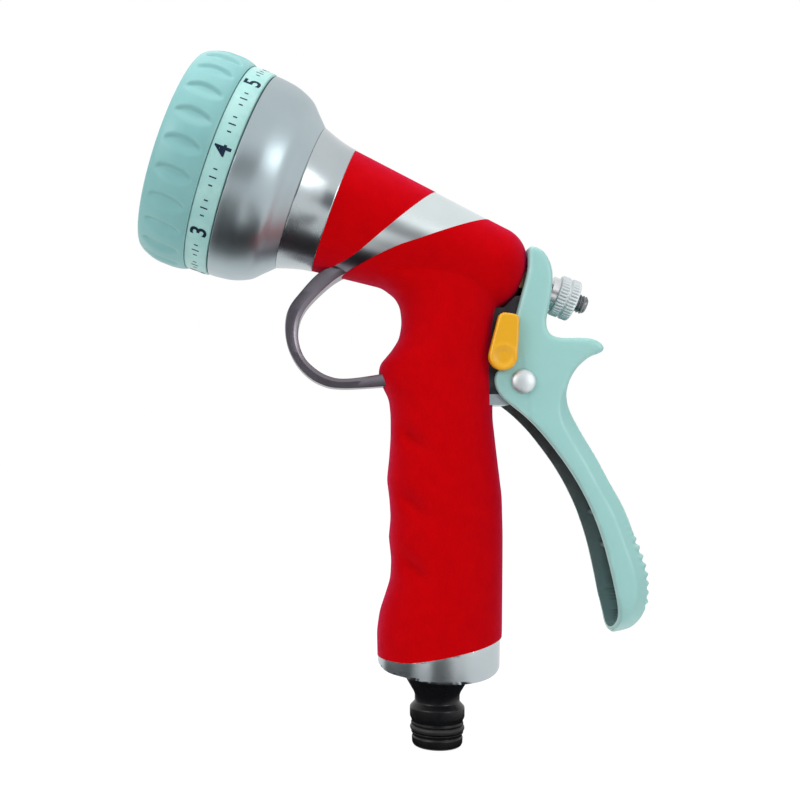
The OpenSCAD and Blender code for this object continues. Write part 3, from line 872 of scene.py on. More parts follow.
@dataclass
class Barrel:
    """The sizes that the pieces on the barrel share."""

    radius: float = 15.5
    taper: float = 0.116
    skin: float = 1.9
    rear: float = -27.9
    rear_corner: float = 11.0
    sleeve_front: float = 34.4
    band_front: Line = smooth_line(
        ((10, 181.5), (-0.5, 172.3), (-15.6, 159.4), (-26.9, 150.7), (-36, 147.3)), 8)
    band_rear: Line = smooth_line(
        ((30, 168.5), (16.2, 163.7), (-5.4, 155.9), (-14.7, 152.7), (-29.5, 146.2)), 8)

    def at(self, s: float) -> float:
        """Gives the barrel's radius at a place along it."""
        return self.radius + self.taper * s

    def form(self, grow: float, front: float) -> Solid:
        """Makes the whole barrel with its round rear end.

        Args:
            grow: How far the surface stands outside the barrel's own.
            front: Where the barrel ends towards the head.

        Returns:
            The solid's bmesh, in its place.
        """
        shoulder = self.rear + self.rear_corner
        corner = self.rear_corner + grow
        middle = self.at(shoulder) - self.rear_corner
        outline = [(0.0, shoulder - corner), *arc((middle, shoulder), corner, -90, 0, 12)]
        steps = int((front - shoulder) / 2)
        for k in range(1, steps + 1):
            s = shoulder + (front - shoulder) * k / steps
            outline.append((self.at(s) + grow, s))
        outline.append((0.0, front))
        return placed(spun(outline, 144), BARREL)

    def ahead(self) -> Solid:
        """Makes a block of everything ahead of the bare band."""
        return side_cut((*self.band_front, (-100, 147.3), (-100, 230), (10, 230)), ACROSS)

    def behind(self) -> Solid:
        """Makes a block of everything behind the bare band."""
        return side_cut((*self.band_rear, (-36, 143), (-36, 0), (60, 0), (60, 168.5)), ACROSS)


@dataclass
class RubberGrip:
    """The rubber over the handle and both ends of the barrel."""

    barrel: Barrel
    voxel: float = 0.75
    smoothing: int = 14
    swell: float = 0.12
    front: Line = (
        (20, -18.4), (36, -18.7), (42, -17.8), (47, -16.1), (52, -14.5), (58, -14.2), (65, -15),
        (71, -14.4), (77, -14.8), (83, -15.6), (89, -14.9), (96, -14.4), (103, -14.4), (108, -14.9),
        (112, -17), (116, -18.3), (119, -17.7), (123, -14.2), (127, -11.7), (132, -10.9),
        (137, -11.5), (140, -13.2), (143, -17.2), (146, -24))
    back: Line = (
        (20, 18.9), (36, 19.9), (66, 20.1), (78, 19.8), (90, 18.3), (102, 16.9), (124, 17),
        (132, 17.8), (140, 19.5), (146, 20))
    half: Line = ((20, 14.4), (40, 14.4), (70, 14.0), (120, 13.4), (146, 13.4))
    foot: Line = smooth_line(
        ((-24, 28.6), (-12.5, 28), (-4, 29), (4.5, 30.7), (13, 32.6), (24, 35.8)))
    dimples: Line = ((-9.5, 95.7), (-8.7, 75.5), (-8.9, 56.4))
    recess_radius: float = 6.6
    recess_front: float = -23.4

    def below_foot(self) -> Solid:
        """Makes a block of everything below the rubber's lower edge."""
        return side_cut((*self.foot, (24, 0), (-24, 0)), ACROSS)

    def form(self) -> Solid:
        """Makes the handle and the barrel as one soft skin, with finger dimples.

        Returns:
            The skin's bmesh.
        """
        heights = [20 + 1.5 * k for k in range(85)]
        handle = lofted([
            (
                z, between(self.front, z) - self.swell, between(self.back, z) + self.swell,
                between(self.half, z) + self.swell,
            )
            for z in heights
        ])
        barrel = self.barrel.form(self.swell, 42)
        skin = melted(together(barrel, handle), self.voxel, self.smoothing)

        def dimple(co: Vector, normal: Vector) -> Vector:
            """Presses the finger dimples into both sides."""
            depth = 0.0
            for x, z in self.dimples:
                along = (co.x - x) * 0.79 - (co.z - z) * 0.61
                across = (co.z - z) * 0.79 + (co.x - x) * 0.61
                depth += 1.5 * bump(along, 0, 6.0) * bump(across, 0, 2.6)
            return normal * (-depth * ramp(abs(normal.y), 0.35, 0.8))

        return shaped(skin, dimple)

    def build(self, shop: Workshop) -> None:
        """Builds the front sleeve and the rear grip.

        Args:
            shop: The materials.
        """
        skin = carved(self.form(), self.barrel.form(-self.barrel.skin, 60))
        sleeve = carved(skin.copy(), self.barrel.ahead(), Cut.KEEP)
        cut = bmesh.ops.bisect_plane(
            sleeve, geom=list(sleeve.verts) + list(sleeve.edges) + list(sleeve.faces), dist=WELD,
            plane_co=on_barrel(self.barrel.sleeve_front), plane_no=TOWARDS_HEAD, clear_outer=True,
        )
        rim = [g for g in cut["geom_cut"] if isinstance(g, bmesh.types.BMEdge)]
        bmesh.ops.holes_fill(sleeve, edges=rim, sides=0)
        shop.piece("sleeve_rubber", sleeve, Slot.RUBBER, "body", ("barrel_sleeve",))
        grip = carved(skin, self.barrel.behind(), Cut.KEEP)
        recess = rod(self.recess_radius, on_barrel(-32), on_barrel(self.recess_front))
        grip = carved(carved(grip, self.below_foot()), recess)
        shop.piece("grip_rubber", grip, Slot.RUBBER, "body", ("handle_grip",))


@dataclass
class GuardBand:
    """The bare metal band round the barrel and the loop in front of the knuckles."""

    barrel: Barrel
    inset: float = 0.03
    outer: Line = smooth_line(
        ((-14, 158), (-26, 151.8), (-36, 147.3), (-42.7, 140.7), (-46.5, 135.3), (-47.4, 129.2),
         (-46.2, 123), (-42.5, 116.9), (-36.6, 112.6), (-29, 111.2), (-12, 112.2)), 10)
    inner: Line = smooth_line(
        ((-8, 154.5), (-19, 150.4), (-29.5, 146.2), (-35.7, 141.6), (-41.4, 135.3), (-43.4, 129.2),
         (-42.5, 123), (-39.6, 118.6), (-34, 115), (-27, 114.3), (-12, 116.6)), 10)
    half_widths: Line = ((0, 8.5), (10, 7.6), (20, 6.4), (30, 5.5), (40, 5.0), (100, 5.0))
    section: Line = (
        (0.0, 0.94), (0.06, 1.0), (0.64, 1.0), (0.70, 0.982), (0.95, 0.90), (1.0, 0.86))

    def loop(self) -> Solid:
        """Sweeps the loop's section from the band to the handle.

        Returns:
            The loop's bmesh.
        """
        bm = bmesh.new()
        near, far = [(u, -w) for u, w in self.section], [(u, w) for u, w in reversed(self.section)]
        verts = [bm.verts.new((u, w, 0)) for u, w in near + far]
        ring = [bm.edges.new(pair) for pair in zip(verts, verts[1:] + verts[:1])]
        bmesh.ops.contextual_create(bm, geom=ring)
        places = []
        for step, (a, b) in enumerate(zip(self.outer, self.inner)):
            across = Vector((b[0] - a[0], 0, b[1] - a[1]))
            along = Vector((across.z, 0, -across.x)).normalized()
            half = Vector((0, between(self.half_widths, step), 0))
            place = Matrix((across, half, along)).transposed().to_4x4()
            place.translation = Vector((a[0], 0, a[1]))
            places.append(place)
        return swept(bm, places)

    def build(self, shop: Workshop) -> None:
        """Builds the band and the loop.

        Args:
            shop: The materials.
        """
        band = carved(self.barrel.form(-self.inset, 40), self.barrel.form(-self.barrel.skin, 60))
        band = carved(carved(band, self.barrel.ahead()), self.barrel.behind())
        # The band's finish paints its highlight, and shade on its lower part.
        shop.piece("band_casting", band, Slot.METAL, "body", ("guard_band",), 40, BAND_PAINTED_LIGHT)
        loop = carved(self.loop(), self.barrel.ahead())
        # The loop's finish paints the dark reflection into its colour.
        shop.piece("guard_loop", loop, Slot.METAL, "body", (), 24, LOOP_PAINTED_SHADE)


@dataclass
class Head:
    """The bell, its neck and the turning head."""

    label_turn: float = -93.0
    label_middle: float = 68.3
    band_radius: float = 32.2
    letter_height: float = 5.0
    patterns: int = 8
    scallops: int = 24
    scallop_middle: float = 79.3
    scallop_depth: float = 0.85
    ring_outside: Line = (
        (32.5, 71.85), (32.9, 72.6), (33.35, 74.2), (33.6, 76.0), (33.62, 78.0), (33.6, 80.0),
        (33.25, 82.2), (32.7, 84.0), (32.0, 85.7), (31.2, 86.9), (30.5, 87.3), (29.6, 87.2), (29.2, 86.6))
    ring_inside: Line = (
        (29.0, 83.25), (28.1, 83.25), (28.1, 76.1), (29.7, 76.0), (29.7, 71.85))

    def bell(self, shop: Workshop) -> None:
        """Builds the bell and the neck behind it.

        Args:
            shop: The materials.
        """
        outer = smooth_line(((22.6, 45.5), (26, 49), (28.8, 52), (30.9, 57), (31.7, 62), (31.8, 64.4)), 8)
        inner = smooth_line(((24.6, 50.2), (27.2, 53), (29, 57), (29.8, 62), (29.8, 64.4)), 6)
        bell = eased(spun((*outer, *inner[::-1], (18, 49), (10, 49), (10, 45.5)), 160), 0.35)
        shop.piece("bell_casting", placed(bell, BARREL), Slot.METAL, "body", ("head_bell",), 30)
        neck = smooth_line(((19.75, 34.45), (20.25, 37.7), (21.32, 41.6), (22.68, 45.49)), 6)
        neck = eased(spun((*neck, (17, 45.49), (17, 34.45)), 160), 0.2, 2)
        shop.piece("neck_skin", placed(neck, BARREL), Slot.METAL, "body", (), 30, GUARD_METAL)

    def grip_ring(self, shop: Workshop) -> None:
        """Builds the grip ring with its slanted finger scallops.

        Args:
            shop: The materials.
        """
        ring = spun((*smooth_line(self.ring_outside, 4), *self.ring_inside), 480)

        def scallop(co: Vector, normal: Vector) -> Vector:
            """Presses slanted leaf-shaped hollows into the outside."""
            radius = math.hypot(co.x, co.y)
            if radius < 30.5 or co.z > 86.6:
                return Vector()
            turn = math.degrees(math.atan2(co.y, co.x)) - (co.z - 79) * 0.06
            step = 360 / self.scallops
            reach = math.sqrt(max(0.0, 1 - ((co.z - self.scallop_middle) / 5.9) ** 2))
            off = (turn / step) % 1 - 0.5
            steep = ramp(reach * 0.30 - off, -0.02, 0.10)
            gentle = ramp(reach * 0.34 + off, -0.02, 0.42)
            return Vector((co.x, co.y, 0)).normalized() * (-self.scallop_depth * steep * gentle)

        ring = placed(shaped(ring, scallop), BARREL)
        shop.piece("grip_ring", ring, Slot.TEAL, "dial", ("dial_grip_ring",), 50, RING_TEAL)

    def number(self, text: str) -> Solid:
        """Makes a flat number with its middle at zero.

        Args:
            text: The number.

        Returns:
            The number's bmesh.
        """
        curve = bpy.data.curves.new("number", "FONT")
        curve.body, curve.size = text, self.letter_height * 1.38
        curve.align_x, curve.extrude, curve.offset = "CENTER", 0.05, 0.14
        holder = bpy.data.objects.new("number", curve)
        bpy.context.scene.collection.objects.link(holder)
        shown = holder.evaluated_get(bpy.context.evaluated_depsgraph_get())
        bm = bmesh.new()
        bm.from_mesh(bpy.data.meshes.new_from_object(shown))
        bpy.data.objects.remove(holder)
        long_edges = [e for e in bm.edges if e.calc_length() > 0.8]
        bmesh.ops.subdivide_edges(bm, edges=long_edges, cuts=2)
        heights = [v.co.y for v in bm.verts]
        bmesh.ops.translate(bm, verts=bm.verts, vec=(0, -(min(heights) + max(heights)) / 2, 0))
        return bm

    def labels(self, shop: Workshop) -> None:
        """Builds the label band, its numbers and the marks between them.

        Args:
            shop: The materials.
        """
        r = self.band_radius
        band = spun((
            (r - 0.5, 64.75), (r, 65.1), (r, 71.7), (29.7, 71.7), (29.7, 76), (28.05, 76), (28.05, 61.5),
            (29.2, 61.5), (29.2, 64.75),
        ), 160)
        band = placed(eased(band, 0.18, 2), BARREL)
        shop.piece("label_ring", band, Slot.TEAL, "dial", ("label_band",), 40)
        marks = []
        for k in range(self.patterns):
            bars = [
                block((0.38, tall, 0.1), (side * step, 0, 0))
                for side in (-1, 1) for step, tall in ((5.6, 1.2), (8.0, 2.2), (10.4, 1.2))
            ]
            marks.append(together(self.number(str((k + 3) % self.patterns + 1)), *bars))
            self.bend(marks[-1], self.label_turn + 360 * k / self.patterns)
        whole = together(*marks)
        bmesh.ops.recalc_face_normals(whole, faces=whole.faces)
        shop.piece("label_marks", placed(whole, BARREL), Slot.TEAL, "dial", (), 30, INK)

    def bend(self, part: Solid, degrees: float) -> None:
        """Wraps flat marks round the label band.

        Args:
            part: The marks, with their middle at zero.
            degrees: Where round the band their middle goes.
        """
        for v in part.verts:
            turn = math.radians(degrees) + v.co.x / self.band_radius
            r = self.band_radius + 0.01 + v.co.z
            v.co = Vector((r * math.cos(turn), r * math.sin(turn), self.label_middle + v.co.y))

    def build(self, shop: Workshop) -> None:
        """Builds every piece of the head.

        Args:
            shop: The materials.
        """
        for build in (self.bell, self.grip_ring, self.labels):
            build(shop)


@dataclass
class Lever:
    """The squeeze lever."""

    voxel: float = 0.5
    smoothing: int = 20
    half: float = 10.0
    wall: float = 2.2
    spread: float = 3.0
    foot_z: float = 48.0
    widening: Line = ((48, 1.0), (72, 0.67), (90, 0.27), (105, 0.0))
    rivet_hole: float = 2.56
    nut_room: float = 5.8
    nut_seat: float = -37.1
    stem_slot: float = 3.4
    chamfer: float = 4.4
    back: Line = smooth_line(
        ((27.2, 154.7), (31.3, 152.8), (33.8, 148.2), (34.1, 143), (33.5, 137.8), (32.2, 131.3),
         (33.4, 127.5), (37.2, 126.4), (44.9, 126.4), (48.7, 124.9), (49.9, 123), (48.8, 121.8),
         (45.2, 120.4), (41, 116.4), (38.6, 111), (39.1, 105.6), (42.7, 98.4), (47.5, 90.2),
         (51.7, 82.2), (55.9, 74.3), (59.6, 64.2), (62.3, 56), (62.8, 50), (62, 43), (59.6, 38),
         (56.6, 36), (54.6, 35)))
    front: Line = smooth_line(
        ((53.4, 36.5), (54, 41), (52.8, 48), (50.7, 57.9), (48, 67.6), (44.1, 77.3), (38.5, 87.1),
         (31.2, 96.8), (25.3, 102.9), (18.6, 108.4), (16.5, 112.8), (17.3, 116.2), (20, 118),
         (21.1, 121.5), (21.6, 128), (23.5, 135.2), (25.2, 141.7), (26.6, 147.6), (26.6, 152.6)))
    hollow: Line = smooth_line(
        ((28.6, 152.2), (31.1, 148.8), (31.3, 143), (30.5, 137.8), (29.6, 131.5), (32.6, 124),
         (35.8, 117), (36.2, 111), (36.7, 105.1), (40.5, 97.2), (45.3, 89.1), (49.5, 81.1),
         (53.6, 73.3), (57.1, 63.5), (59.7, 55.6), (60.3, 50), (59.5, 44), (57.9, 39.4), (54, 36.8)))

    def round_footed(self, half: float) -> Solid:
        """Makes a long block that widens downwards to a half-round end.

        Args:
            half: Half its width at the top.

        Returns:
            The block's bmesh.
        """
        sides = [(half, 200.0)] + [(half + self.spread * share, z) for z, share in self.widening[:0:-1]]
        end = arc((0, self.foot_z), half + self.spread, 0, -180, 32)
        solid = side_cut((*sides, *end, *((-y, z) for y, z in reversed(sides))), 70)
        return placed(solid, Matrix.Translation((60, 0, 0)) @ turned(90, "Z"))

    def half_at(self, z: float) -> float:
        """Gives half the lever's width.

        Args:
            z: The height to read.

        Returns:
            Half the width there.
        """
        if z < self.foot_z:
            foot = self.half + self.spread
            return math.sqrt(max(0.0, foot**2 - (self.foot_z - z) ** 2))
        return self.half + self.spread * between(self.widening, z)

    def build(self, shop: Workshop) -> None:
        """Builds the lever: a soft-edged shell, hollow from the front.

        Args:
            shop: The materials.
        """
        wide = self.half + self.spread + 1
        solid = carved(side_cut(self.back + self.front, wide), self.round_footed(self.half), Cut.KEEP)
        solid = melted(solid, self.voxel, self.smoothing)
        tree = kdtree.KDTree(len(self.back))
        for k, (x, z) in enumerate(self.back):
            tree.insert((x, 0, z), k)
        tree.balance()

        def bevelled(co: Vector, normal: Vector) -> Vector:
            """Cuts a flat chamfer along the long edges of the back, below the thumb rest."""
            gap = tree.find((co.x, 0, co.z))[2]
            depth = 0.72 * max(0.0, self.chamfer * (1 - ramp(co.z, 98, 118)) - gap)
            y = math.copysign(min(abs(co.y), self.half_at(co.z) - depth), co.y)
            return Vector((0, y - co.y, 0))

        solid = melted(shaped(solid, bevelled), self.voxel, 4)

        def serrate(co: Vector, normal: Vector) -> Vector:
            """Raises the finger ribs near the foot of the back."""
            inside = ramp(co.z, 43.5, 46) * (1 - ramp(co.z, 64.5, 67))
            inside *= 1 - ramp(abs(co.y), 9.0, 11.0)
            wave = 0.5 + 0.5 * math.cos(2 * math.pi * (co.z - 43.5) / 2.75)
            ribs = 0.9 * inside * (wave - 0.4) * ramp(normal.x, 0.1, 0.5)
            fold = 25.5 + (113 - co.z) * 0.14
            step = 0.16 * (1 - ramp(co.x, fold, fold + 0.7)) * ramp(abs(normal.y), 0.7, 0.9)
            return normal * (ribs - step * (1 - ramp(co.z, 120, 126)))

        solid = shaped(solid, serrate)
        room = side_cut((*self.hollow, (30, 36.8), (0, 60), (0, 152.2)), wide)
        room = carved(room, self.round_footed(self.half - self.wall), Cut.KEEP)
        # The hollow's faces take the second material, the painted shade inside.
        for face in room.faces:
            face.material_index = 1
        shell = carved(solid, room)
        x, z = PIVOT
        shell = carved(shell, rod(self.rivet_hole, Vector((x, -20, z)), Vector((x, 20, z))))
        for turn in (0, 4.7, 9.3, SQUEEZE):
            place = Matrix.Translation((x, 0, z)) @ turned(-turn, "Y") @ Matrix.Translation((-x, 0, -z))
            s = self.nut_seat - STEM_TRAVEL * turn / SQUEEZE
            shell = carved(shell, rod(self.nut_room, place @ on_barrel(s), place @ on_barrel(s - 12)))
        for rise in (-2.0, -0.4, 1.2):
            shell = carved(shell, rod(self.stem_slot, on_barrel(-45, rise), on_barrel(-25, rise)))
        shell = carved(shell, Barrel().form(0.5, 20))
        piece = shop.piece("lever_shell", shell, Slot.TEAL, "lever", ("squeeze_lever",), 40)
        piece.data.materials.append(shop.made[INSIDE_PAINTED_SHADE])
        # The ribs in the hollow take the same painted shade.
        ribs = [
            block((5.4, 2 * (self.half_at(z) - self.wall) + 0.4, 1.4), (x, 0, z))
            for x, z in ((56.0, 62), (52.0, 72.5))
        ]
        shop.piece("lever_ribs", eased(together(*ribs), 0.3, 2), Slot.TEAL, "lever", finish=INSIDE_PAINTED_SHADE)


@dataclass
class BaseAndPlug:
    """The metal ring at the handle's foot and the hose plug below it."""

    grip: RubberGrip
    plug_bore: float = 9.75
    seal_middle: Point = (7.4, 5.8)
    seal_radius: float = 1.05
    lower_edge: Line = smooth_line(
        ((-18.9, 27.2), (-17.9, 25.6), (-15.6, 24.4), (-10.3, 23.6), (-4.6, 22.5), (0, 22.1), (7.4, 22.1),
         (13, 22.8), (16.5, 23.9), (18.4, 25.2), (19.9, 27.2)))

    def build(self, shop: Workshop) -> None:
        """Builds the ring, the plug and the plug's ring seal.

        Args:
            shop: The materials.
        """
        levels = [(20 + k, -18.4 - 0.008 * k, 19.1 + 0.016 * k, 14.5) for k in range(25)]
        ring = carved(lofted(levels, 144), self.grip.below_foot(), Cut.KEEP)
        below = ((-30, 27.2), *self.lower_edge, (30, 27.2), (30, 0), (-30, 0))
        ring = carved(ring, side_cut(below, ACROSS))
        ring = carved(ring, rod(self.plug_bore, Vector((0, 0, 10)), Vector((0, 0, 24.9))))
        ring = eased(ring, 0.3, 2, 50)
        shop.piece("foot_ring", ring, Slot.METAL, "body", ("base_ring",), 30, GUARD_METAL)
        plug = spun((
            (4.5, 0), (6.6, 0), (7.3, 0.3), (7.8, 1.1), (7.9, 3), (7.5, 3.5), (7.9, 4.1), (8.2, 4.6),
            (6.35, 4.6), (6.35, 7), (8.2, 7), (7.9, 8), (8.5, 9.3), (8.5, 12.3), (7, 13.9), (7, 16),
            (7.35, 17.0), (9.7, 21), (9.7, 25), (4.5, 25),
        ))
        shop.piece("plug_body", eased(plug, 0.28, 3, 22), Slot.BLACK, "body", ("hose_plug",), 40)
        seal = spun(arc(self.seal_middle, self.seal_radius, 0, 345, 23), 96)
        shop.piece("plug_ring_seal", seal, Slot.SEAL, "body", ("plug_o_ring",), 80)


@dataclass
class Hardware:
    """The rivet, the flow nut, the stem's thread, the lock tab and the return spring."""

    rivet_face: float = 10.1
    rivet_radius: float = 2.5
    wire_radius: float = 0.6
    coils: int = 8

    def rivet(self, shop: Workshop) -> None:
        """Builds the lever's rivet with a domed head on each side.

        Args:
            shop: The materials.
        """
        angles = [math.radians(a) for a in range(12, 90, 6)]
        dome = [(3.66 * math.cos(a), 0.3 + 1.5 * math.sin(a)) for a in angles]
        x, z = PIVOT
        parts = []
        for side in (-1, 1):
            head = spun([(0, 0), (3.7, 0.0), (3.68, 0.25), *dome, (0, 1.8)], 64)
            place = Matrix.Translation((x, self.rivet_face * side, z)) @ turned(-90 * side, "X")
            parts.append(placed(head, place))
        shank = rod(self.rivet_radius, Vector((x, -10.2, z)), Vector((x, 10.2, z)))
        rivet = together(*parts, shank)
        shop.piece("rivet", rivet, Slot.STEEL, "body", ("pivot_rivet",), 50, SATIN_STEEL)

    def nut(self, shop: Workshop) -> None:
        """Builds the knurled flow nut.

        Args:
            shop: The materials.
        """
        outline = [(2.95, -39.31), (5.7, -39.31), (6.1, -39.45), (6.38, -39.9)]
        outline += [(6.4, -40.2 - 0.2 * k) for k in range(10)]
        outline += [(6.05, -42.25), (6.0, -42.5), (6.05, -42.75)]
        outline += [(6.4, -43.0 - 0.2 * k) for k in range(11)]
        outline += [(6.3, -45.3), (5.8, -45.7), (3.4, -45.7), (2.95, -45.4)]
        nut = spun(outline[::-1], 288)

        def knurl(co: Vector, normal: Vector) -> Vector:
            """Cuts straight knurls into both bands."""
            radius = math.hypot(co.x, co.y)
            if radius < 6.2:
                return Vector()
            turn = math.degrees(math.atan2(co.y, co.x)) / 10
            depth = 0.32 * (2 * abs((turn % 1) - 0.5)) ** 2
            return Vector((co.x, co.y, 0)).normalized() * -depth

        nut = placed(shaped(nut, knurl), BARREL)
        shop.piece("flow_nut_knurled", nut, Slot.STEEL, "nut", ("flow_nut",), 30, SATIN_STEEL)

    def stem(self, shop: Workshop) -> None:
        """Builds the valve stem and the thread on its rear end.

        Args:
            shop: The materials.
        """
        core = (
            (0, -49.6), (2.0, -49.6), (2.5, -49.1), (2.5, -34.0), (2.88, -33.4), (2.88, 15), (0, 15))
        ridge = ((0.0, -0.44), (0.36, -0.08), (0.36, 0.08), (0.0, 0.44), (-0.2, 0.3), (-0.2, -0.3))
        thread = placed(wound(2.5, ridge, 1.0, 14.6, 32), Matrix.Translation((0, 0, -48.9)))
        stem = placed(together(eased(spun(core, 64), 0.05, 1), thread), BARREL)
        shop.piece("stem_threaded", stem, Slot.STEEL, "stem", ("valve_stem",), 30, DARK_STEEL)

    def tab(self, shop: Workshop) -> None:
        """Builds the lock tab with its shallow dish.

        Args:
            shop: The materials.
        """
        outline = (
            *arc((0, 0), 4.35, -188, 8, 24), *arc((1.3, 11.1), 1.95, 0, 90, 6),
            *arc((-1.3, 11.1), 1.95, 90, 180, 6),
        )
        tab = melted(eased(side_cut(outline, 1.6), 0.7, 3, 50), 0.2, 10)

        def dish(co: Vector, normal: Vector) -> Vector:
            """Presses the round dish into the outside and crowns the rest."""
            if normal.y > -0.5:
                return Vector()
            off = math.hypot(co.x, co.z + 0.2)
            return Vector((0, 0.42 * (1 - ramp(off, 1.6, 3.2)) - 0.12 * bump(off, 3.5, 0.6), 0))

        tab = shaped(tab, dish)
        tab = placed(tab, Matrix.Translation((LOCK[0], -11.9, LOCK[1])) @ turned(8.6, "Y"))
        shop.piece("lock_lever", tab, Slot.YELLOW, "lock", ("lock_tab",), 35)

    def lug(self, shop: Workshop) -> None:
        """Builds a near-black ear between the handle and the lever, over the frame's own, as painted
        shadow in the gap there.

        Args:
            shop: The materials.
        """
        ear = side_cut((
            (12, 109.0), (25.3, 109.0), (27.6, 118.5), (26.2, 125), (25.7, 133), (25.3, 139.4),
            (23.0, 139.4), (19.4, 135.9), (12, 135.9),
        ), 7.5)
        shop.piece("pivot_ear", eased(ear, 0.5, 3), Slot.METAL, "body", finish=SHADOW_COAT)

    def spring(self, shop: Workshop) -> None:
        """Builds the return spring and gives it its own copy of its mesh.

        Args:
            shop: The materials.
        """
        wire = arc((0, 0), self.wire_radius, 0, 324, 9)
        coil = wound(5.0, wire, 22.8 / self.coils, self.coils, 24)
        coil = placed(coil, BARREL @ Matrix.Translation((0, 0, -13.4)))
        piece = shop.piece("stem_spring", coil, Slot.STEEL, "body", ("return_spring",), 80)
        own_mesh(piece)

    def build(self, shop: Workshop) -> None:
        """Builds every piece of hardware.

        Args:
            shop: The materials.
        """
        for build in (self.rivet, self.nut, self.stem, self.tab, self.lug, self.spring):
            build(shop)


# ---- The studio ----


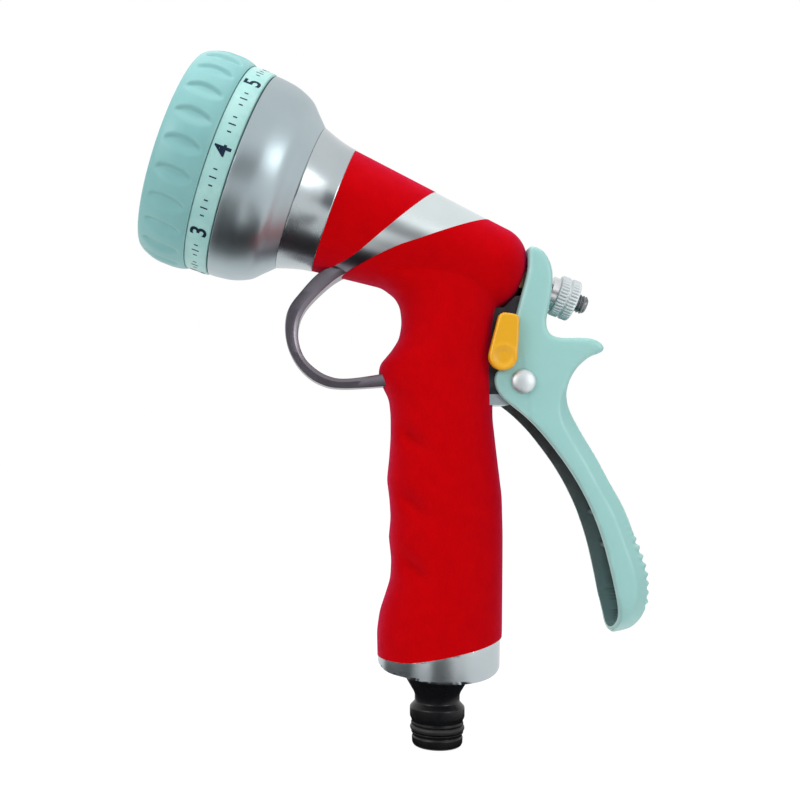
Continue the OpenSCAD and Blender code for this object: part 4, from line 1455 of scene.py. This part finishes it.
@dataclass
class Studio:
    """The camera, the floor, the world and the lamps."""

    camera_at: Place = (-0.0397, -0.330, 0.09375)
    lens: float = 47.52
    sensor: float = 36.0
    shift: Point = (0.1124, 0.0562)

    def camera(self) -> None:
        """Places the camera level, looking across the gun."""
        data = bpy.data.cameras.new("camera")
        data.lens, data.sensor_width = self.lens, self.sensor
        data.shift_x, data.shift_y = self.shift
        data.clip_start, data.clip_end = 0.01, 20
        camera = bpy.data.objects.new("camera", data)
        camera.location, camera.rotation_euler = self.camera_at, (math.radians(90), 0, 0)
        bpy.context.scene.collection.objects.link(camera)
        bpy.context.scene.camera = camera

    def white_where_seen(self, tree: bpy.types.NodeTree, shader: Socket, glow: str) -> Socket:
        """Makes a shader pure white to the camera and to gloss and glass.

        Args:
            tree: The tree it is in.
            shader: The shader that lights and shades otherwise.
            glow: The type of the white shader's node.

        Returns:
            The mixed shader's socket.
        """
        s = Sheet(tree)
        path = s.add("ShaderNodeLightPath").outputs
        mirrored = s.math("MAXIMUM", path["Is Glossy Ray"], path["Is Transmission Ray"])
        seen = s.math("MAXIMUM", path["Is Camera Ray"], mirrored)
        white = s.add(glow, {"Color": (1, 1, 1, 1), "Strength": 1.0}).outputs[0]
        mix = s.add("ShaderNodeMixShader", {0: seen, 1: shader, 2: white})
        return mix.outputs[0]

    def floor(self) -> None:
        """Lays a wide pale floor under the plug."""
        bm = bmesh.new()
        bmesh.ops.create_grid(bm, x_segments=4, y_segments=4, size=4)
        bmesh.ops.translate(bm, verts=bm.verts, vec=(0, 0, -0.0003))
        material = bpy.data.materials.new("pale_floor")
        material.use_nodes = True
        tree = material.node_tree
        shader = tree.nodes["Principled BSDF"]
        shader.inputs["Base Color"].default_value = (0.92, 0.92, 0.92, 1)
        shader.inputs["Roughness"].default_value = 0.8
        s = Sheet(tree)
        path = s.add("ShaderNodeLightPath").outputs
        white = s.add("ShaderNodeEmission", {"Color": (1, 1, 1, 1), "Strength": 1.08}).outputs[0]
        share = s.math("MULTIPLY", s.math("MAXIMUM", path["Is Camera Ray"], path["Is Glossy Ray"]), 0.9)
        mix = s.add("ShaderNodeMixShader", {0: share, 1: shader.outputs[0], 2: white})
        tree.links.new(mix.outputs[0], tree.nodes["Material Output"].inputs["Surface"])
        as_object("floor", bm, material)

    def card(self, name: str, size: Point, place: Place, tip: float, tone: float) -> None:
        """Hangs a dark card that only shows in reflections.

        Args:
            name: The card's name.
            size: Its width and height in metres.
            place: Its middle.
            tip: How far it is tipped up from lying flat, in degrees.
            tone: Its grey.
        """
        bm = bmesh.new()
        bmesh.ops.create_grid(bm, x_segments=1, y_segments=1, size=0.5)
        placed(bm, Matrix.Translation(place) @ turned(tip, "X") @ Matrix.Diagonal((*size, 1, 1)))
        material = bpy.data.materials.new(name)
        material.use_nodes = True
        tree = material.node_tree
        look = {"Color": (tone * 1.05, tone, tone * 1.15, 1), "Strength": 1.0}
        glow = Sheet(tree).add("ShaderNodeEmission", look)
        tree.links.new(glow.outputs[0], tree.nodes["Material Output"].inputs["Surface"])
        card = as_object(name, bm, material)
        card.visible_camera = card.visible_diffuse = card.visible_shadow = False
        card.visible_transmission = card.visible_volume_scatter = False

    def lamp(
        self, name: str, place: Place, aim: Place, size: float, power: float, in_gloss: bool = True
    ) -> None:
        """Hangs a soft square lamp.

        Args:
            name: The lamp's name.
            place: Where it hangs.
            aim: The point that it faces.
            size: Its side in metres.
            power: Its power in watts.
            in_gloss: Whether it shows in reflections.
        """
        data = bpy.data.lights.new(name, "AREA")
        data.size, data.energy = size, power
        lamp = bpy.data.objects.new(name, data)
        lamp.location = place
        lamp.visible_glossy = in_gloss
        lamp.rotation_euler = (Vector(aim) - Vector(place)).to_track_quat("-Z", "Y").to_euler()
        bpy.context.scene.collection.objects.link(lamp)

    def build(self) -> None:
        """Builds the whole studio."""
        scene = bpy.context.scene
        scene.view_settings.view_transform = "Standard"
        self.camera()
        self.floor()
        world = bpy.data.worlds.new("studio")
        world.use_nodes = True
        tree = world.node_tree
        fill = tree.nodes["Background"]
        fill.inputs["Color"].default_value = (1, 1, 1, 1)
        fill.inputs["Strength"].default_value = 0.42
        mixed = self.white_where_seen(tree, fill.outputs[0], "ShaderNodeBackground")
        tree.links.new(mixed, tree.nodes["World Output"].inputs["Surface"])
        scene.world = world
        self.card("card_front", (0.50, 0.40), (-0.02, -0.62, 0.10), 90, 0.10)
        self.card("card_below_head", (0.145, 0.38), (-0.1475, -0.14, 0.0006), 0, 0.02)
        self.card("card_below_guard", (0.125, 0.15), (-0.0125, -0.025, 0.0006), 0, 0.02)
        self.card("card_stripe", (0.044, 0.15), (0.008, -0.175, 0.0006), 0, 0.02)
        self.lamp("top", (-0.05, -0.12, 0.62), (0, 0, 0.1), 0.45, 2.6, False)
        self.lamp("left", (-0.55, -0.42, 0.38), (-0.03, 0, 0.13), 0.30, 1.3)
        self.lamp("right", (0.45, -0.50, 0.25), (0.02, 0, 0.10), 0.25, 0.8)


def main() -> None:
    """Builds the gun's looks piece by piece, and then the studio."""
    logging.basicConfig(level=logging.INFO, format="%(message)s")
    shop = Workshop()
    shop.dress_frame()
    barrel = Barrel()
    grip = RubberGrip(barrel)
    for part in (grip, GuardBand(barrel), Head(), Lever(), BaseAndPlug(grip), Hardware()):
        LOG.info("building %s", type(part).__name__)
        part.build(shop)
    Studio().build()


if __name__ == "__main__":
    main()
